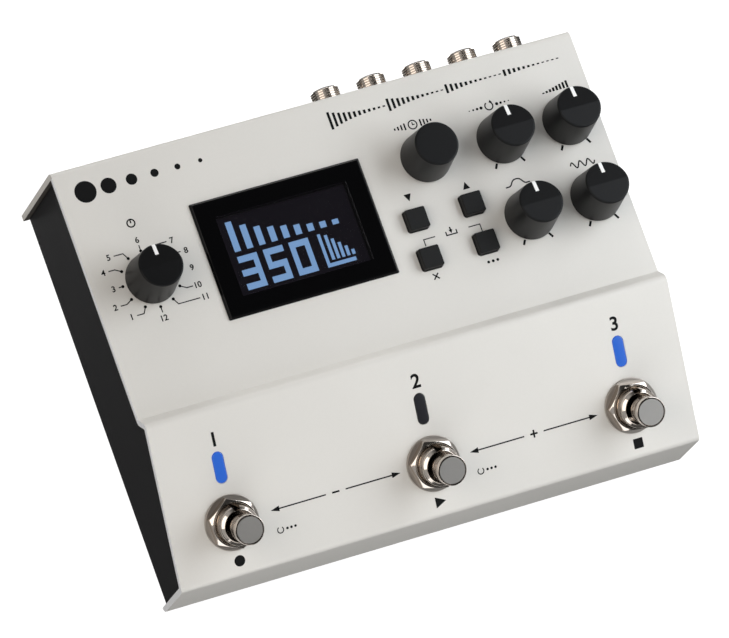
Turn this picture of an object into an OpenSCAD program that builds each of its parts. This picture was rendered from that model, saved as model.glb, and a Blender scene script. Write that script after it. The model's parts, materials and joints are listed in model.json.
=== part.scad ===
// Delay pedal for the floor: a folded sheet cover on a black tray, a display window,
// six knobs, four keys, three footswitches and a row of sockets on the rear wall.
// Millimetres, +Z up, +Y towards the rear sockets, origin under the middle of the pedal.

/* [Casing] */
// Width of the folded cover
casing_w = 170; // [168:1:210]
// Depth of the cover, from the front lip to the rear wall
casing_d = 129.5; // [128:0.5:150]
// Height of the knob deck above the bottom of the casing
deck_h = 42; // [41:0.5:60]
// Depth of the knob deck, from the rear wall to the foot of the step
deck_d = 79.4; // [79:0.2:90]
// Rise of the step from the knob deck to the ridge
step_rise = 5.2; // [3:0.1:8]
// Depth of the step from its foot to the ridge
step_run = 3.1; // [2.5:0.1:5]
// Height of the front corner above the bottom of the casing
front_h = 25.7; // [24:0.1:30]
// Thickness of the cover's sheet
sheet_t = 1.8; // [1.2:0.1:2]
// Outer radius of the cover's folds
fold_r = 2; // [2:0.1:3]
// Depth of the flange that the front lip turns in to
lip_flange = 12; // [9:0.5:14]
// Overhang of the cover past the tray's sides
side_inset = 1.5; // [0.5:0.1:3]
// Thickness of the tray's sheet
tray_t = 1.8; // [1.2:0.1:2.2]
// Height of the tray's upstand inside the rear wall
upstand_h = 7; // [6:0.5:7.5]
// Clearance between the cover and the tray
shell_fit = 0.3; // [0.2:0.05:0.5]

/* [Feet and screws] */
// Height of the rubber feet under the casing
foot_h = 5.5; // [4:0.5:10]
// Diameter of the rubber feet
foot_d = 16; // [10:0.5:20]
// Distance of a foot's centre from the casing's edges
foot_inset = 14; // [12:0.5:18]
// Diameter of the plug that holds a foot in the tray
foot_plug_d = 5; // [4:0.5:7]
// Diameter of the casing screws
screw_d = 3; // [2:0.1:4]
// Diameter of the casing screws' heads
screw_head_d = 5.6; // [5:0.1:7]
// Height of the casing screws' heads
screw_head_h = 1.8; // [1:0.1:2.5]
// Distance between a front foot and the front screw beside it, across the pedal
screw_pitch = 17; // [15:0.5:26]

/* [Knobs] */
// Distance of the mode knob from the casing's left edge
mode_left = 18.4; // [17:0.1:20]
// Distance of the mode knob from the rear wall
mode_from_rear = 39.3; // [36:0.1:42]
// Distance of the time knob from the middle of the keys, to the right
time_right = 0.4; // [-2:0.1:2]
// Distance of the time knob from the rear wall
time_from_rear = 26.4; // [22:0.1:28]
// Distance of the outer column of knobs from the casing's right edge
pot_right = 10.7; // [9:0.1:13]
// Distance between the two columns of knobs
pot_pitch_x = 21.9; // [20:0.1:23]
// Distance of the rear row of knobs from the rear wall
pot_from_rear = 27.1; // [22:0.1:30]
// Distance between the two rows of knobs
pot_pitch_y = 24.9; // [20:0.1:27]
// Diameter of a knob at its base
knob_base_d = 15.8; // [15:0.1:18]
// Diameter of a knob at its top
knob_top_d = 13.5; // [13:0.1:15]
// Height of a knob
knob_h = 14; // [13:0.1:18]
// Gap between a knob and the deck
knob_gap = 0.5; // [0.4:0.1:1]
// Gap between the time knob and the deck, which takes its push
time_gap = 0.8; // [0.8:0.1:1.2]
// Travel of the time knob's push
time_travel = 0.4; // [0.2:0.05:0.4]
// Drop of the slanted half of a knob's top, at the rim
facet_drop = 0.9; // [0.3:0.1:1.2]
// Width of the pointer groove
pointer_w = 1.1; // [0.8:0.1:1.5]
// Length of the pointer groove
pointer_l = 3.4; // [2:0.1:3.6]
// Diameter of the control shafts
shaft_d = 6; // [5:0.1:6.2]
// Diameter of the controls' threaded bushings
bushing_d = 7.2; // [7:0.1:8]
// Height of the controls' bushings above the deck
bushing_h = 5; // [4:0.1:5.5]
// Height of the control bodies under the deck
control_h = 6.5; // [6.2:0.1:8]

/* [Keys] */
// Width of a key
key_w = 6.5; // [6:0.1:7.5]
// Height of a key above the deck
key_rise = 1.4; // [1.2:0.1:3]
// Travel of a key
key_travel = 0.5; // [0.2:0.05:0.6]
// Share of the deck's spare width that lies to the right of the keys
key_right = 0.22; // [0.1:0.01:0.3]
// Distance between the two columns of keys
key_pitch_x = 18.4; // [15:0.1:19]
// Distance of the rear row of keys from the rear wall
key_from_rear = 44.05; // [43:0.05:48]
// Distance between the two rows of keys
key_pitch_y = 12.5; // [11.5:0.1:16]

/* [Display] */
// Width of the display window
window_w = 55.3; // [50:0.1:57]
// Depth of the display window
window_d = 37.3; // [34:0.1:42]
// Height of the display window above the deck
window_rise = 0.9; // [0.5:0.1:1.5]
// Share of the deck's spare width that lies to the left of the window
window_left = 0.467; // [0.35:0.001:0.55]
// Distance of the window's middle from the rear wall
window_from_rear = 39.5; // [36:0.1:42]
// Width of the lit part of the display
view_w = 42.6; // [38:0.1:44]
// Depth of the lit part of the display
view_d = 25.4; // [22:0.1:27]

/* [Footswitches] */
// Distance between the footswitches
switch_pitch = 65.4; // [50:0.1:66]
// Distance of the footswitches down the slope from the ridge
switch_down = 35.4; // [34.5:0.1:37]
// Diameter of a plunger
plunger_d = 9.2; // [8:0.1:9.4]
// Height of a plunger's top above the slope
plunger_rise = 15.8; // [13:0.1:20]
// Travel of a plunger
plunger_travel = 3; // [1:0.1:4]
// Diameter of a footswitch's threaded bushing
switch_bushing_d = 12; // [11.4:0.1:12.6]
// Height of a footswitch's bushing above the slope
switch_bushing_h = 8; // [6:0.1:9]
// Diameter of a footswitch's washer
switch_washer_d = 17; // [16.6:0.1:20]
// Width across the flats of a footswitch's nut
switch_nut_w = 14; // [13.4:0.1:16]
// Height of a footswitch's nut
switch_nut_h = 2.6; // [2:0.1:4]
// Width of a footswitch's housing
switch_body_w = 15; // [14:0.1:17]
// Depth of a footswitch's housing under the slope
switch_body_h = 14; // [12:0.1:15]

/* [Lights] */
// Length of a light's lens, down the slope
lens_l = 9.4; // [7:0.1:11]
// Width of a light's lens
lens_w = 3.3; // [2.6:0.1:4]
// Distance of the lights down the slope from the ridge
lens_down = 18.45; // [16:0.05:19]

/* [Rear sockets] */
// Reach of the jacks behind the rear wall
jack_out = 8.5; // [6:0.1:10]
// Diameter of the jacks' threaded bushings
jack_bushing_d = 9; // [8.6:0.1:9.6]
// Bore of the jacks, for a 6.35 mm plug
jack_bore_d = 6.5; // [6.4:0.05:6.8]
// Distance of the last jack from the casing's right edge
jack_right = 10.9; // [10.5:0.1:13]
// Distance between the jacks
jack_pitch = 15.2; // [14.2:0.1:15.5]
// Height of the sockets' axes above the bottom of the casing
socket_h = 17; // [16.5:0.1:19]
// Width across the flats of a jack's nut
jack_nut_w = 12; // [11.5:0.1:12.6]

/* [Battery bay] */
// Diameter of a battery cell
cell_d = 14.5; // [14:0.1:14.8]
// Length of a battery cell
cell_l = 50.5; // [49:0.1:51.5]
// Distance of the battery bay from the casing's left edge
bay_left = 12.75; // [12:0.05:14]
// Thickness of the battery bay's walls
bay_wall = 1.5; // [1:0.1:1.6]
// Clearance round the battery door
door_fit = 0.4; // [0.3:0.05:0.6]

/* [Hidden] */
$fn = 64;

// Clearances that the pieces share
run_fit = 0.05;
thread_fit = 0.05;
hole_fit = 0.2;
slide_fit = 0.1;
move_gap = 0.3;
board_fit = 0.4;
knob_clear = 0.4;
bite = 1;

// Main planes of the casing
y_front = -(casing_d + jack_out) / 2;
y_rear = y_front + casing_d;
y_step = y_rear - deck_d;
y_ridge = y_step - step_run;
z_base = foot_h;
z_floor = z_base + tray_t;
z_deck = z_base + deck_h;
z_under = z_deck - sheet_t;
z_ridge = z_deck + step_rise;
z_front = z_base + front_h;
z_lip = z_floor + shell_fit;
slope = atan2(z_ridge - z_front, y_ridge - y_front);

// Tray, feet and screws
tray_w = casing_w - 2 * side_inset;
tray_in = tray_w / 2 - tray_t;
tray_y0 = y_front + sheet_t + shell_fit;
tray_y1 = y_rear - sheet_t - shell_fit;
tray_bend = 0.6;
rear_screw_inset = 8;
rear_screw_edge = 3;
foot_x = casing_w / 2 - foot_inset;
foot_places = [for (x = [-1, 1]) for (y = [y_front + foot_inset, y_rear - foot_inset]) [x * foot_x, y]];
front_screw_places = [for (i = [-1:1]) [i * (foot_x - screw_pitch), y_front + sheet_t + lip_flange / 2]];
rear_screw_places = [-1, 1] * (casing_w / 2 - rear_screw_inset);
rear_screw_h = upstand_h - rear_screw_edge;

// Jacks and the board that carries them
jack_count = 5;
jack_body_h = 15;
jack_body_d = 22;
jack_body_gap = 1.6;
jack_body_w = jack_pitch - jack_body_gap;
jack_rim = 0.5;
jack_washer_t = 0.5;
jack_washer_lap = 0.6;
jack_nut_h = 2.2;
jack_places = [for (i = [0:jack_count - 1])
    casing_w / 2 - jack_right - (jack_count - 1 - i) * jack_pitch];
z_socket = z_base + socket_h;
z_jacks = z_socket - jack_body_h / 2;
board_t = 1.6;
board_lap = 3.2;
jack_board_x = tray_in - board_fit;
jack_board_y0 = y_rear - sheet_t - jack_body_d - board_lap;
jack_board_y1 = tray_y1 - tray_t - board_fit;

// Other sockets, with five even gaps between the tray's left wall and the first jack
din_r = 7.4;
din_body_w = 20;
din_body_d = 13;
usb_w = 8.4;
usb_d = 3.2;
usb_r = 0.7;
usb_wall = 0.4;
usb_depth = 6;
dc_w = 9.6;
dc_r = 4.6;
socket_gap = (jack_places[0] - jack_body_w / 2 + tray_in - 2 * din_body_w - usb_w - dc_w) / 5;
din_places = [for (i = [0, 1]) -tray_in + (i + 1) * socket_gap + (i + 0.5) * din_body_w];
usb_at = din_places[1] + din_body_w / 2 + socket_gap + usb_w / 2;
dc_at = usb_at + usb_w / 2 + socket_gap + dc_w / 2;

// Battery bay, in front of the jack board
cell_room = 0.5;
cell_count = 4;
contact_room = 5;
hook_l = 2.4;
hook_t = 1.2;
hook_w = 8;
hook_pitch = 30;
hook_room = 0.8;
bay_head = 2;
bay_clear = 2;
door_ledge = hook_l + hook_room;
bay_in_w = cell_l + contact_room;
bay_in_d = cell_count * (cell_d + cell_room) + door_ledge;
bay_h = cell_d + bay_head;
bay_w = bay_in_w + 2 * bay_wall;
bay_d = bay_in_d + 2 * bay_wall;
bay_x = -casing_w / 2 + bay_left + bay_w / 2;
bay_y0 = jack_board_y0 - bay_clear - bay_d;
door_w = bay_in_w - 2 * door_fit;
door_d = bay_in_d - door_ledge - 2 * door_fit;
door_y0 = bay_y0 + bay_wall + door_ledge + door_fit;
door_r = 1.6;
notch_d = 14;

// Places of the controls on the knob deck: the window and the keys share out the width that is
// spare between the mode knob and the inner column of knobs
mode_at = [-casing_w / 2 + mode_left, y_rear - mode_from_rear];
level_at = [casing_w / 2 - pot_right, y_rear - pot_from_rear];
feedback_at = level_at - [pot_pitch_x, 0];
tone_at = feedback_at - [0, pot_pitch_y];
depth_at = level_at - [0, pot_pitch_y];
field_x0 = mode_at[0] + knob_base_d / 2;
field_x1 = feedback_at[0] - knob_base_d / 2;
keys_w = key_pitch_x + key_w;
spare_w = field_x1 - field_x0 - window_w - keys_w;
keys_x = field_x1 - key_right * spare_w - keys_w / 2;
window_at = [field_x0 + window_left * spare_w + window_w / 2, y_rear - window_from_rear];
time_at = [keys_x + time_right, y_rear - time_from_rear];
down_at = [keys_x - key_pitch_x / 2, y_rear - key_from_rear];
up_at = down_at + [key_pitch_x, 0];
exit_at = down_at - [0, key_pitch_y];
edit_at = up_at - [0, key_pitch_y];
pot_places = [feedback_at, level_at, tone_at, depth_at];
control_places = concat([mode_at, time_at], pot_places);
key_places = [down_at, up_at, exit_at, edit_at];
switch_places = [-switch_pitch, 0, switch_pitch];

// Knobs and shafts
knob_rim = 0.5;
knob_roof = 2.4;
knob_wall = 0.5;
nut_room = 1.2;
cavity_r = knob_top_d / 2 - knob_wall;
cavity_h = bushing_h + nut_room;
shaft_flat = shaft_d / 4;
shaft_seat = 4;
washer_t = 0.5;
washer_r = cavity_r - knob_clear;
nut_h = 2;
nut_r = cavity_r - knob_clear;
facet_a = atan2(facet_drop, knob_top_d / 2);
groove_t = 0.3;
pot_w = 9.8;
pot_d = 10.8;
encoder_w = 12.6;
mode_body_w = 14;
rotor_r = 4.8;
rotor_h = 2.4;
rotor_drop = 3;
rotor_z = z_under - rotor_drop;

// Keys
key_r = 0.7;
key_bevel = 0.4;
key_flange = 0.8;
key_flange_lap = 1;
key_flange_w = key_w + 2 * key_flange_lap;
key_stem_d = 3.2;
key_stem_in = 1;
key_hole_w = key_w + 2 * move_gap;
key_switch_w = 6;
key_switch_h = 3.6;
key_stem_z = z_under - control_h + key_switch_h - key_stem_in;

// Display
window_r = 1.2;
window_bevel = 0.5;
plug_rim = 2.5;
plug_w = view_w + 2 * plug_rim;
plug_d = view_d + 2 * plug_rim;
lcd_wall = 1.2;
lcd_lip = 0.5;
lcd_rim_x = 4.5;
lcd_rim_y = 4;
lcd_w = view_w + 2 * lcd_rim_x;
lcd_d = view_d + 2 * lcd_rim_y;

// Panel board, main board and the cable between them
z_panel = z_under - control_h;
panel_edge = 2;
panel_rear = 7;
main_lift = 10;
main_gap = 7.75;
main_side = 8;
main_clear = 3;
z_main = z_floor + main_lift;
main_x0 = bay_x + bay_w / 2 + main_gap;
main_x1 = casing_w / 2 - main_side;
main_y0 = bay_y0 + main_clear;
main_y1 = jack_board_y0 - main_clear;
post_d = 6;
board_edge = 4;
main_posts = [for (x = [main_x0 + board_edge, main_x1 - board_edge])
    for (y = [main_y0 + board_edge, main_y1 - board_edge]) [x, y]];
jack_posts = [for (i = [-1:1]) [i * (jack_board_x - board_edge), jack_board_y0 + board_edge]];
ribbon_w = 22;
ribbon_t = 0.8;
ribbon_r = 2.2;
ribbon_lead = 12;
connector_h = 4;
connector_d = 5;
connector_lap = 2;
ribbon_at = [main_x1 - ribbon_w - 2 * connector_lap, main_y0 + ribbon_lead];

// Lights and footswitches under the slope
emitter_w = 2;
emitter_l = 5;
lens_flange = 1;
lens_proud = 0.3;
light_board_z = -6.2;
light_board_side = 5.3;
light_board_w = 2 * (tray_in - light_board_side);
light_board_d = 13;
light_post_places = [-0.5, 0.5] * switch_pitch;
switch_washer_t = 0.8;
plunger_seat = 6;
keyway_w = 1.8;
keyway_d = 0.8;

function left_of(d) = [-d[1], d[0]];
function run_dir(path, i) = (path[i + 1] - path[i]) / norm(path[i + 1] - path[i]);

// Point at corner i of a path, moved to the left by d with a sharp mitre
function mitre(path, i, d) =
    let (n1 = left_of(run_dir(path, i - 1)), n2 = left_of(run_dir(path, i)))
    path[i] + (n1 + n2) * d / (1 + n1 * n2);

// Arc of a fold at corner i, on the surface that lies d to the left of the path
function fold_arc(path, i, d, t, r) =
    let (n1 = left_of(run_dir(path, i - 1)), n2 = left_of(run_dir(path, i)),
        turn = atan2(n1[0] * n2[1] - n1[1] * n2[0], n1 * n2),
        side = turn > 0 ? 1 : -1, rr = turn > 0 ? r : r - t,
        c = path[i] + side * (n1 + n2) * rr / (1 + n1 * n2), a1 = atan2(n1[1], n1[0]), steps = 12)
    [for (k = [0:steps]) let (a = a1 + turn * k / steps)
        c - side * (rr - side * d) * [cos(a), sin(a)]];

// One face of a folded strip, from the first point of its path to the last
function strip_face(path, d, t, r) =
    let (last = len(path) - 1)
    concat([path[0] + d * left_of(run_dir(path, 0))],
        [for (i = [1:last - 1]) each fold_arc(path, i, d, t, r)],
        [path[last] + d * left_of(run_dir(path, last - 1))]);

function reversed(list) = [for (i = [len(list) - 1:-1:0]) list[i]];

// Closed outline of a sheet of thickness t that follows a path with folds of radius r
function strip_outline(path, t, r) =
    concat(strip_face(path, 0, t, r), reversed(strip_face(path, t, t, r)));

cover_path = [[y_rear, z_base], [y_rear, z_deck], [y_step, z_deck], [y_ridge, z_ridge],
    [y_front, z_front], [y_front, z_lip], [y_front + lip_flange, z_lip]];

// Extrudes a section drawn in depth and height across the pedal
module across(x0, x1) {
    translate([x0, 0, 0]) rotate([90, 0, 90]) linear_extrude(x1 - x0) children();
}

// Extrudes a section drawn in width and height along the pedal's depth
module along(y0, y1) {
    translate([0, y1, 0]) rotate([90, 0, 0]) linear_extrude(y1 - y0) children();
}

module on_deck(at) {
    translate([at[0], at[1], z_deck]) children();
}

// Sets children on the sloping deck, with their Z square to it
module on_slope(x, down) {
    translate([x, y_ridge - down * cos(slope), z_ridge - down * sin(slope)])
        rotate([slope, 0, 0]) children();
}

// Sets children on the rear wall, with their Z pointing out of it
module on_rear(x, z) {
    translate([x, y_rear, z]) rotate([-90, 0, 0]) children();
}

module rounded_square(w, d, r) {
    square([w - 2 * r, d], center = true);
    square([w, d - 2 * r], center = true);
    for (x = [-1, 1]) for (y = [-1, 1]) translate([x * (w / 2 - r), y * (d / 2 - r)]) circle(r);
}

// Slot shape with round ends, long in Y
module pill(w, l) {
    square([w, l - w], center = true);
    for (y = [-1, 1]) translate([0, y * (l - w) / 2]) circle(d = w);
}

// Round section with one flat, turned towards +Y
module d_section(r, flat) {
    intersection() {
        circle(r);
        translate([-r - bite, -r - bite]) square([2 * (r + bite), r + bite + flat]);
    }
}

module plate(w, d, h, r) {
    linear_extrude(h) rounded_square(w, d, r);
}

// Plate with a bevel round its top edge
module beveled_plate(w, d, h, r, bevel) {
    hull() {
        plate(w, d, h - bevel, r, $fn = 32);
        plate(w - 2 * bevel, d - 2 * bevel, h, r - bevel / 2, $fn = 32);
    }
}

module washer(r, hole_r, t) {
    difference() {
        cylinder(r = r, h = t);
        translate([0, 0, -bite]) cylinder(r = hole_r, h = t + 2 * bite);
    }
}

// Hexagon nut of width w over its flats, with its top corners turned off
module hex_nut(w, h, hole_r) {
    corner_r = w / sqrt(3);
    flat_r = w / 2;
    difference() {
        intersection() {
            cylinder(r = corner_r, h = h, $fn = 6);
            rotate_extrude() polygon([[0, 0], [corner_r, 0], [corner_r, h - (corner_r - flat_r) * 0.6],
                [flat_r, h], [0, h]]);
        }
        translate([0, 0, -bite]) cylinder(r = hole_r, h = h + 2 * bite);
    }
}

module board(x0, x1, y0, y1, z) {
    translate([x0, y0, z]) cube([x1 - x0, y1 - y0, board_t]);
}

module top_cover() {
    notch_w = side_inset + tray_t + shell_fit;
    color("#dcdad5") difference() {
        across(-casing_w / 2, casing_w / 2) polygon(strip_outline(cover_path, sheet_t, fold_r));
        for (x = [-casing_w / 2 - bite, casing_w / 2 - notch_w])
            translate([x, y_front + sheet_t, z_lip - bite])
                cube([notch_w + bite, lip_flange + bite, sheet_t + fold_r + bite]);
        for (at = control_places)
            on_deck(at) translate([0, 0, -sheet_t - bite])
                cylinder(d = bushing_d + 2 * hole_fit, h = sheet_t + 2 * bite);
        for (at = key_places)
            on_deck(at) translate([0, 0, -sheet_t - bite])
                plate(key_hole_w, key_hole_w, sheet_t + 2 * bite, key_r + move_gap);
        on_deck(window_at) translate([0, 0, -sheet_t - bite])
            plate(plug_w + 2 * hole_fit, plug_d + 2 * hole_fit, sheet_t + 2 * bite, window_r);
        for (x = switch_places) {
            on_slope(x, lens_down) translate([0, 0, -sheet_t - bite])
                linear_extrude(sheet_t + 2 * bite) pill(lens_w + 2 * hole_fit, lens_l + 2 * hole_fit);
            on_slope(x, switch_down) translate([0, 0, -sheet_t - bite])
                cylinder(d = switch_bushing_d + 2 * hole_fit, h = sheet_t + 2 * bite);
        }
        for (x = jack_places)
            on_rear(x, z_socket) translate([0, 0, -sheet_t - bite])
                cylinder(d = jack_bushing_d + 2 * hole_fit, h = sheet_t + 2 * bite);
        for (x = din_places)
            on_rear(x, z_socket) translate([0, 0, -sheet_t - bite])
                cylinder(r = din_r + hole_fit, h = sheet_t + 2 * bite);
        on_rear(usb_at, z_socket) translate([0, 0, -sheet_t - bite])
            plate(usb_w + 2 * hole_fit, usb_d + 2 * hole_fit, sheet_t + 2 * bite, usb_r + hole_fit);
        on_rear(dc_at, z_socket) translate([0, 0, -sheet_t - bite])
            cylinder(r = dc_r + hole_fit, h = sheet_t + 2 * bite);
        for (x = rear_screw_places)
            on_rear(x, z_base + rear_screw_h) translate([0, 0, -sheet_t - bite])
                cylinder(d = screw_d + 2 * hole_fit, h = sheet_t + 2 * bite);
        for (at = front_screw_places)
            translate([at[0], at[1], z_lip - bite])
                cylinder(d = screw_d + 2 * thread_fit, h = sheet_t + 2 * bite);
    }
}

// Trough of folded sheet, its sides cut to the cover's profile, with an upstand at the rear
module bottom_chassis() {
    inner = sheet_t + shell_fit;
    side = concat([[tray_y1, z_base]], [for (i = [1:4]) mitre(cover_path, i, inner)], [[tray_y0, z_base]]);
    trough = [[-tray_w / 2, z_ridge], [-tray_w / 2, z_base], [tray_w / 2, z_base], [tray_w / 2, z_ridge]];
    upstand_w = 2 * (tray_in - tray_bend);
    color("#242424") difference() {
        union() {
            intersection() {
                along(tray_y0, tray_y1) polygon(strip_outline(trough, tray_t, tray_t + tray_bend));
                across(-tray_w / 2, tray_w / 2) polygon(side);
            }
            translate([-upstand_w / 2, tray_y1 - tray_t, z_base]) cube([upstand_w, tray_t, upstand_h]);
        }
        for (at = foot_places)
            translate([at[0], at[1], z_base - bite])
                cylinder(d = foot_plug_d + 2 * thread_fit, h = tray_t + 2 * bite);
        translate([bay_x, door_y0 + door_d / 2, z_base - bite])
            plate(door_w + 2 * door_fit, door_d + 2 * door_fit, tray_t + 2 * bite, door_r + door_fit);
        for (at = front_screw_places)
            translate([at[0], at[1], z_base - bite])
                cylinder(d = screw_d + 2 * hole_fit, h = tray_t + 2 * bite);
        for (x = rear_screw_places)
            translate([x, tray_y1 + bite, z_base + rear_screw_h]) rotate([90, 0, 0])
                cylinder(d = screw_d + 2 * thread_fit, h = tray_t + 2 * bite);
    }
}

// Door flush with the tray, hooked over the tray's edge at the front
module battery_door() {
    color("#1c1c1d") translate([bay_x, 0, 0]) difference() {
        union() {
            translate([0, door_y0 + door_d / 2, z_base]) plate(door_w, door_d, tray_t, door_r);
            for (x = [-0.5, 0.5] * hook_pitch) {
                translate([x - hook_w / 2, door_y0, z_floor - bite])
                    cube([hook_w, hook_t, bite + move_gap + hook_t]);
                translate([x - hook_w / 2, door_y0 - hook_l, z_floor + move_gap])
                    cube([hook_w, hook_l + hook_t, hook_t]);
            }
        }
        translate([0, door_y0 + door_d, z_base - bite]) cylinder(d = notch_d, h = tray_t / 2 + bite);
    }
}

module rubber_feet() {
    chamfer = 1;
    plug_out = 1.2;
    plug_h = tray_t + plug_out;
    color("#1f1f1f") for (at = foot_places) translate([at[0], at[1], 0])
        rotate_extrude() polygon([[0, 0], [foot_d / 2 - chamfer, 0], [foot_d / 2, chamfer],
            [foot_d / 2 - chamfer / 2, foot_h], [foot_plug_d / 2, foot_h],
            [foot_plug_d / 2, foot_h + plug_h], [0, foot_h + plug_h]]);
}

// Round-headed screw with a cross recess, head up from z = 0
module screw(l) {
    recess = 1;
    slot_l = 3.2;
    slot_w = 0.7;
    rim = 0.7;
    difference() {
        union() {
            rotate_extrude() polygon([[0, 0], [screw_head_d / 2, 0], [screw_head_d / 2, screw_head_h - rim],
                [screw_head_d / 2 - rim, screw_head_h], [0, screw_head_h]]);
            translate([0, 0, -l]) cylinder(d = screw_d, h = l + bite / 2);
        }
        for (a = [0, 90]) rotate([0, 0, a]) translate([-slot_l / 2, -slot_w / 2, screw_head_h - recess])
            cube([slot_l, slot_w, recess + bite]);
    }
}

module case_screws() {
    grip = sheet_t + shell_fit + tray_t;
    front_end = 3;
    rear_end = 2;
    color("#2b2b2c") {
        for (at = front_screw_places)
            translate([at[0], at[1], z_base]) rotate([180, 0, 0]) screw(grip + front_end);
        for (x = rear_screw_places) on_rear(x, z_base + rear_screw_h) screw(grip + rear_end);
    }
}

// Tapered knob with a hollow base over the nut; its rear half slants where it has a pointer
module knob(at, gap, pointer) {
    base_r = knob_base_d / 2;
    top_r = knob_top_d / 2;
    h = knob_h + knob_gap - gap;
    color("#232326") on_deck(at) translate([0, 0, gap]) difference() {
        rotate_extrude()
            polygon([[0, 0], [base_r, 0], [top_r, h - knob_rim], [top_r - knob_rim, h], [0, h]]);
        translate([0, 0, -bite]) cylinder(r = cavity_r, h = cavity_h - gap + bite);
        translate([0, 0, cavity_h - gap - bite])
            linear_extrude(h - knob_roof - cavity_h + gap + bite)
            d_section(shaft_d / 2 + run_fit, shaft_flat + run_fit);
        if (pointer) {
            translate([-base_r, 0, h]) rotate([-facet_a, 0, 0]) cube([2 * base_r, base_r, base_r]);
            translate([-pointer_w / 2, 0, h]) rotate([-facet_a, 0, 0])
                translate([0, top_r - pointer_l, -groove_t]) cube([pointer_w, pointer_l + bite, base_r]);
        }
    }
}

module mode_knob() { knob(mode_at, knob_gap, true); }
module time_knob() { knob(time_at, time_gap, false); }
module feedback_knob() { knob(feedback_at, knob_gap, true); }
module level_knob() { knob(level_at, knob_gap, true); }
module tone_knob() { knob(tone_at, knob_gap, true); }
module depth_knob() { knob(depth_at, knob_gap, true); }

// Shaft that reaches seat below the deck, flattened where it enters the knob
module shaft(at, seat, flat_foot) {
    top = knob_gap + knob_h - knob_roof - move_gap;
    length = top + sheet_t + seat;
    color("#b9bbbd") on_deck(at) translate([0, 0, -sheet_t - seat]) difference() {
        cylinder(d = shaft_d, h = length);
        translate([-shaft_d, shaft_flat, sheet_t + seat + bushing_h + move_gap])
            cube([2 * shaft_d, shaft_d, length]);
        if (flat_foot) translate([-shaft_d, shaft_flat, -bite])
            cube([2 * shaft_d, shaft_d, rotor_h + 2 * move_gap + bite]);
    }
}

module mode_shaft() { shaft(mode_at, shaft_seat, false); }
module time_shaft() { shaft(time_at, z_under - rotor_z + rotor_h - time_travel, true); }
module feedback_shaft() { shaft(feedback_at, shaft_seat, false); }
module level_shaft() { shaft(level_at, shaft_seat, false); }
module tone_shaft() { shaft(tone_at, shaft_seat, false); }
module depth_shaft() { shaft(depth_at, shaft_seat, false); }

// Housing under the deck with a threaded bushing through it and a bore for the shaft
module control_body(w, d, seat) {
    difference() {
        union() {
            translate([0, 0, -sheet_t - control_h]) plate(w, d, control_h, 0.8);
            translate([0, 0, -sheet_t - bite]) cylinder(d = bushing_d, h = sheet_t + bushing_h + bite);
        }
        translate([0, 0, -sheet_t - seat - move_gap])
            cylinder(d = shaft_d + 2 * run_fit, h = sheet_t + seat + bushing_h + bite + move_gap);
    }
}

module mode_switch_body() {
    color("#3c3c40") on_deck(mode_at) control_body(mode_body_w, mode_body_w, shaft_seat);
}

module time_encoder_body() {
    color("#4a4a4e") difference() {
        on_deck(time_at) control_body(encoder_w, encoder_w, z_under - rotor_z);
        translate([time_at[0], time_at[1], rotor_z - rotor_h - move_gap])
            cylinder(r = rotor_r + move_gap, h = rotor_h + 2 * move_gap);
    }
}

// Ring that the time knob's shaft slides through and turns
module time_rotor() {
    color("#c9a56a") translate([time_at[0], time_at[1], rotor_z - rotor_h]) linear_extrude(rotor_h)
        difference() {
            circle(rotor_r);
            d_section(shaft_d / 2 + run_fit, shaft_flat + run_fit);
        }
}

module potentiometers() {
    color("#5a5f63") for (at = pot_places) on_deck(at) control_body(pot_w, pot_d, shaft_seat);
}

module control_washers() {
    color("#b9bbbd") for (at = control_places) on_deck(at)
        washer(washer_r, bushing_d / 2 + thread_fit, washer_t);
}

module control_nuts() {
    color("#c4c5c7") for (at = control_places) on_deck(at) translate([0, 0, washer_t])
        hex_nut(nut_r * sqrt(3), nut_h, bushing_d / 2 + thread_fit);
}

// Key with a beveled top, a flange that stops it under the deck and a stem to its switch
module key(at) {
    stem_h = z_under - move_gap - key_flange - key_stem_z;
    color("#1f1f20") on_deck(at) {
        translate([0, 0, -sheet_t - move_gap - key_flange]) {
            plate(key_flange_w, key_flange_w, key_flange, key_r);
            translate([0, 0, key_flange])
                beveled_plate(key_w, key_w, sheet_t + move_gap + key_rise, key_r, key_bevel);
            translate([0, 0, -stem_h]) cylinder(d = key_stem_d, h = stem_h);
        }
    }
}

module down_key() { key(down_at); }
module up_key() { key(up_at); }
module exit_key() { key(exit_at); }
module edit_key() { key(edit_at); }

module key_switches() {
    hole_z = key_stem_z - key_travel - move_gap;
    color("#2a2a2c") for (at = key_places) translate([at[0], at[1], 0]) difference() {
        translate([0, 0, z_panel]) plate(key_switch_w, key_switch_w, key_switch_h, 0.5);
        translate([0, 0, hole_z]) cylinder(d = key_stem_d + 2 * slide_fit, h = key_switch_h);
    }
}

// Pane on the deck, with a plug that drops into the deck's opening
module display_window() {
    color("#0d0d10") on_deck(window_at) {
        beveled_plate(window_w, window_d, window_rise, window_r, window_bevel);
        translate([0, 0, -sheet_t]) plate(plug_w, plug_d, sheet_t, window_r);
    }
}

module lcd_frame() {
    color("#4d5052") translate([window_at[0], window_at[1], z_panel]) difference() {
        plate(lcd_w, lcd_d, control_h - move_gap, 0.8);
        translate([0, 0, lcd_wall])
            plate(lcd_w - 2 * lcd_wall, lcd_d - 2 * lcd_wall, control_h - lcd_wall - move_gap - lcd_lip, 0.5);
        plate(view_w, view_d, control_h + bite, 0.5);
    }
}

module lcd_glass() {
    fit = 0.1;
    color("#1a1c2e") translate([window_at[0], window_at[1], z_panel + lcd_wall + fit])
        plate(lcd_w - 2 * lcd_wall - 2 * fit, lcd_d - 2 * lcd_wall - 2 * fit,
            control_h - lcd_wall - move_gap - lcd_lip - 2 * fit, 0.4);
}

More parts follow.
